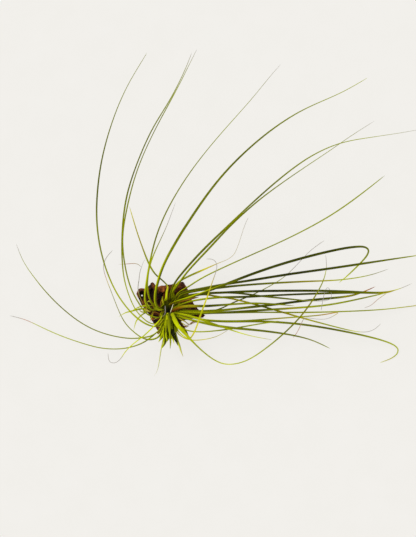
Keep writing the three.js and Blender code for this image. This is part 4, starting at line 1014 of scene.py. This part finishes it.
def bark_finish():
    """Rough cork in thin layers: orange rims, partly the layers' own colour and partly a painted highlight,
    a brown body, charred cracks and painted shade in its pits.
    """
    finish = Finish("bark_cork")
    grit = finish.noise(900.0, 4.0)
    cork = finish.noise(220.0, 4.0, 0.65, finish.stretched((1.0, 1.0, 2.6)))
    layers = finish.noise(260.0, 8.0, 0.8, finish.stretched((0.8, 0.8, 5.0)))
    drift = finish.noise(260.0, 4.0, 0.5, output="Color")
    shift = finish.add("ShaderNodeVectorMath", {"operation": "SCALE"}, {"Vector": drift, "Scale": 0.006})
    spot = finish.add("ShaderNodeVectorMath", {"operation": "ADD"}, [finish.place(), shift])
    plates = finish.add(
        "ShaderNodeTexVoronoi", {"feature": "DISTANCE_TO_EDGE"},
        {"Vector": spot, "Scale": 170.0}, "Distance",
    )
    cracks = 1.0 - finish.band(plates, 0.015, 0.11)
    normal = finish.add("ShaderNodeTexCoord", output="Normal")
    steep = 1.0 - finish.band(finish.upward(normal), 0.2, 0.8)
    high = finish.band(finish.upward(finish.place()), 0.007, 0.013)
    level = finish.measure("raised") + (grit - 0.5) * 0.3 + (cork - 0.5) * 0.5
    level = level + (layers - 0.5) * (steep * 0.7 + 0.4)
    body = finish.ramp(level, [(0.22, CHAR), (0.45, MAROON), (0.66, BROWN), (0.95, ORANGE)])
    # Orange on steep upper faces: the layers' own colour, partly a painted highlight.
    body = finish.blend(steep * high * finish.band(level, 0.3, 0.6) * 0.6, body, ORANGE)
    body = finish.blend(cracks * (steep * 0.4 + 0.35), body, CHAR)
    # Painted shade in the pits.
    body = finish.blend(finish.measure("sunk") * 0.7, body, CHAR)
    relief = grit * 0.3 + cork * 0.4 + layers * 0.8 - cracks * 0.5
    bumps = finish.bump(relief, strength=1.0, distance=0.0012)
    return finish.done(Base_Color=body, Roughness=0.85, Specular_IOR_Level=0.15, Normal=bumps)


def root_finish():
    """Wiry old root, in patches of several browns."""
    finish = Finish("root_skin")
    colour = finish.ramp(finish.noise(420.0, 3.0), [(0.3, RUST), (0.45, AMBER), (0.6, TAN), (0.75, STRAW)])
    bumps = finish.bump(finish.noise(2600.0, 2.0), strength=0.5, distance=0.0002)
    return finish.done(Base_Color=colour, Roughness=0.75, Specular_IOR_Level=0.15, Normal=bumps)


finish_piece(bark_piece(), bark_finish(), "bark")

# Thin curls over the bark: width in millimetres, colours by percent, and its route as seen from the eye.
CURLS = [
    (0.8, [(0, PALE), (100, LEAF)],
     [(-19.8, 3.4, 19), (-17.6, 0, 19.5), (-16, -2.4, 19), (-14.6, -4.6, 18)]),
    (1.1, [(0, LEAF), (100, LIME)], [(-18, 0.8, 18.5), (-18.6, -1.8, 18), (-19.2, -4.2, 17)]),
    (1.9, [(0, LIME), (50, STRAW), (100, MOSS)],
     [(-21.2, -3.6, 17.5), (-18.6, -4.4, 18), (-15.4, -5.6, 18)]),
    (0.9, [(0, TAN), (50, WHITE), (100, STRAW)],
     [(11.6, -12.6, 12), (14, -14.9, 11), (16.8, -15.4, 10.5), (18.8, -13.8, 10.5)]),
    (0.9, [(0, AMBER), (50, RUST), (100, TAN)], [(9, -15.8, 10), (12.8, -17.6, 9), (15.6, -16.2, 9.5)]),
    (1.1, [(0, RUST), (40, TAN), (100, ORANGE)],
     [(15.8, -15.4, 10), (18.4, -13.5, 11), (21.6, -14.1, 10.5)]),
    (1, [(0, OLIVE), (30, YELLOW), (100, STRAW)], [(4, -8.6, 26), (8.4, -11.4, 23), (14.8, -14.8, 17)]),
    (1, [(0, OLIVE), (30, YELLOW), (100, STRAW)], [(4, -9.4, 26), (8.4, -13.6, 22), (14.4, -17.6, 14)]),
    (0.9, [(0, OLIVE), (30, HAY), (100, STRAW)], [(4, -10.4, 25), (7.8, -15, 21), (11.6, -19.4, 15)]),
]
# The first curls lie among the dried leaves, the others among the roots.
CURLS_BY_LEAVES = 3

for number, (width, stops, route) in enumerate(CURLS, 1):
    points = [seen(*place) for place in route]
    look = leaf_finish(f"curl_skin_{number}", stops, TAN, WHOLE_LEAF)
    node = "dry_leaves" if number <= CURLS_BY_LEAVES else "roots"
    drawn_leaf(f"curl_{number}", leaf_model, width, points, look, node)

# Old dried leaves: width in millimetres, colours by percent, and the route as seen from the eye.
DRY_LEAVES = [
    (1.3, [(35, LEAF), (65, LIME), (85, PALE)],
     [(-14, -2.8, 9), (-19, -2.8, 14), (-24, -3.2, 16), (-32, -5.2, 15), (-36, -6.4, 13.5),
      (-41.6, -9.6, 12)]),
    (1.2, [(0, LEAF), (40, LIME), (70, PALE)],
     [(-14, -4, 9), (-21.6, -7.2, 14), (-26.4, -12, 13), (-28, -16, 12), (-29.2, -20.8, 11)]),
    (1.2, [(0, OLIVE), (30, LIME), (100, BRIGHT)],
     [(-12, -1, 10), (-17, -0.6, 17), (-24, -1.4, 17), (-33, -6, 15)]),
    (0.6, [(0, MAROON), (25, BROWN), (36, DUSTY), (42, GREY)],
     [(-15, -2.6, 9), (-21, 1, 17), (-24.5, 8, 19), (-25.6, 13.6, 20), (-24.8, 20, 24), (-24, 26.4, 26),
      (-21.2, 34.4, 28), (-17.6, 39.2, 28)]),
    (0.5, [(0, GREY), (35, ROSE), (80, ROSE), (100, GREY)],
     [(-23.2, 30.4, 27), (-25.4, 32.4, 27.6), (-29, 33.2, 28), (-35.2, 32.8, 28), (-41.6, 32.6, 27)]),
    (1.3, [(0, AMBER), (50, HAY), (100, PALE)],
     [(-12, -3, 10), (-14.4, 0.8, 17), (-16.8, 3.2, 19), (-18.8, 1.6, 18)]),
    (1.2, [(0, AMBER), (50, LEAF), (100, STRAW)],
     [(-14, -4.4, 9), (-19.2, -5.6, 15), (-23.2, -5.2, 15), (-25.6, -1.6, 15)]),
    (1.2, [(0, AMBER), (50, HAY), (100, YELLOW)],
     [(-13, -4, 9), (-14.4, -8, 15), (-15.6, -12, 14), (-16.4, -13.6, 13.5)]),
]

# Wiry roots: width in millimetres, then the route as seen from the eye.
ROOTS = [
    (1.2, [(1.6, -8, 8), (6.4, -12.8, 13), (11.2, -16.8, 11), (14.4, -16, 10), (20, -14, 8)]),
    (1.1, [(1, -10, 8), (-4, -14.4, 13), (-6.4, -19.2, 11), (-8, -22.4, 9), (-4.8, -24, 8)]),
    (1.1, [(0, -8, 8), (-8, -7.2, 14), (-12, -5.6, 14), (-15.2, -8.8, 13)]),
    (1.1, [(2, -8, 8), (4.8, -6.4, 13), (11.2, -8.8, 11), (16, -11.6, 9.5)]),
]

for number, (width, stops, route) in enumerate(DRY_LEAVES, 1):
    points = [seen(*place) for place in route]
    look = leaf_finish(f"dry_skin_{number}", stops, PALE, DRY_LEAF_REACH)
    drawn_leaf(f"dry_{number}", leaf_model, width, points, look, "dry_leaves")

strand_model = model_strand()
root_skin = root_finish()
for number, (width, route) in enumerate(ROOTS, 1):
    points = [seen(*place) for place in route]
    drawn_leaf(f"root_{number}", strand_model, width, points, root_skin, "roots")

bpy.data.objects.remove(leaf_model)
bpy.data.objects.remove(strand_model)
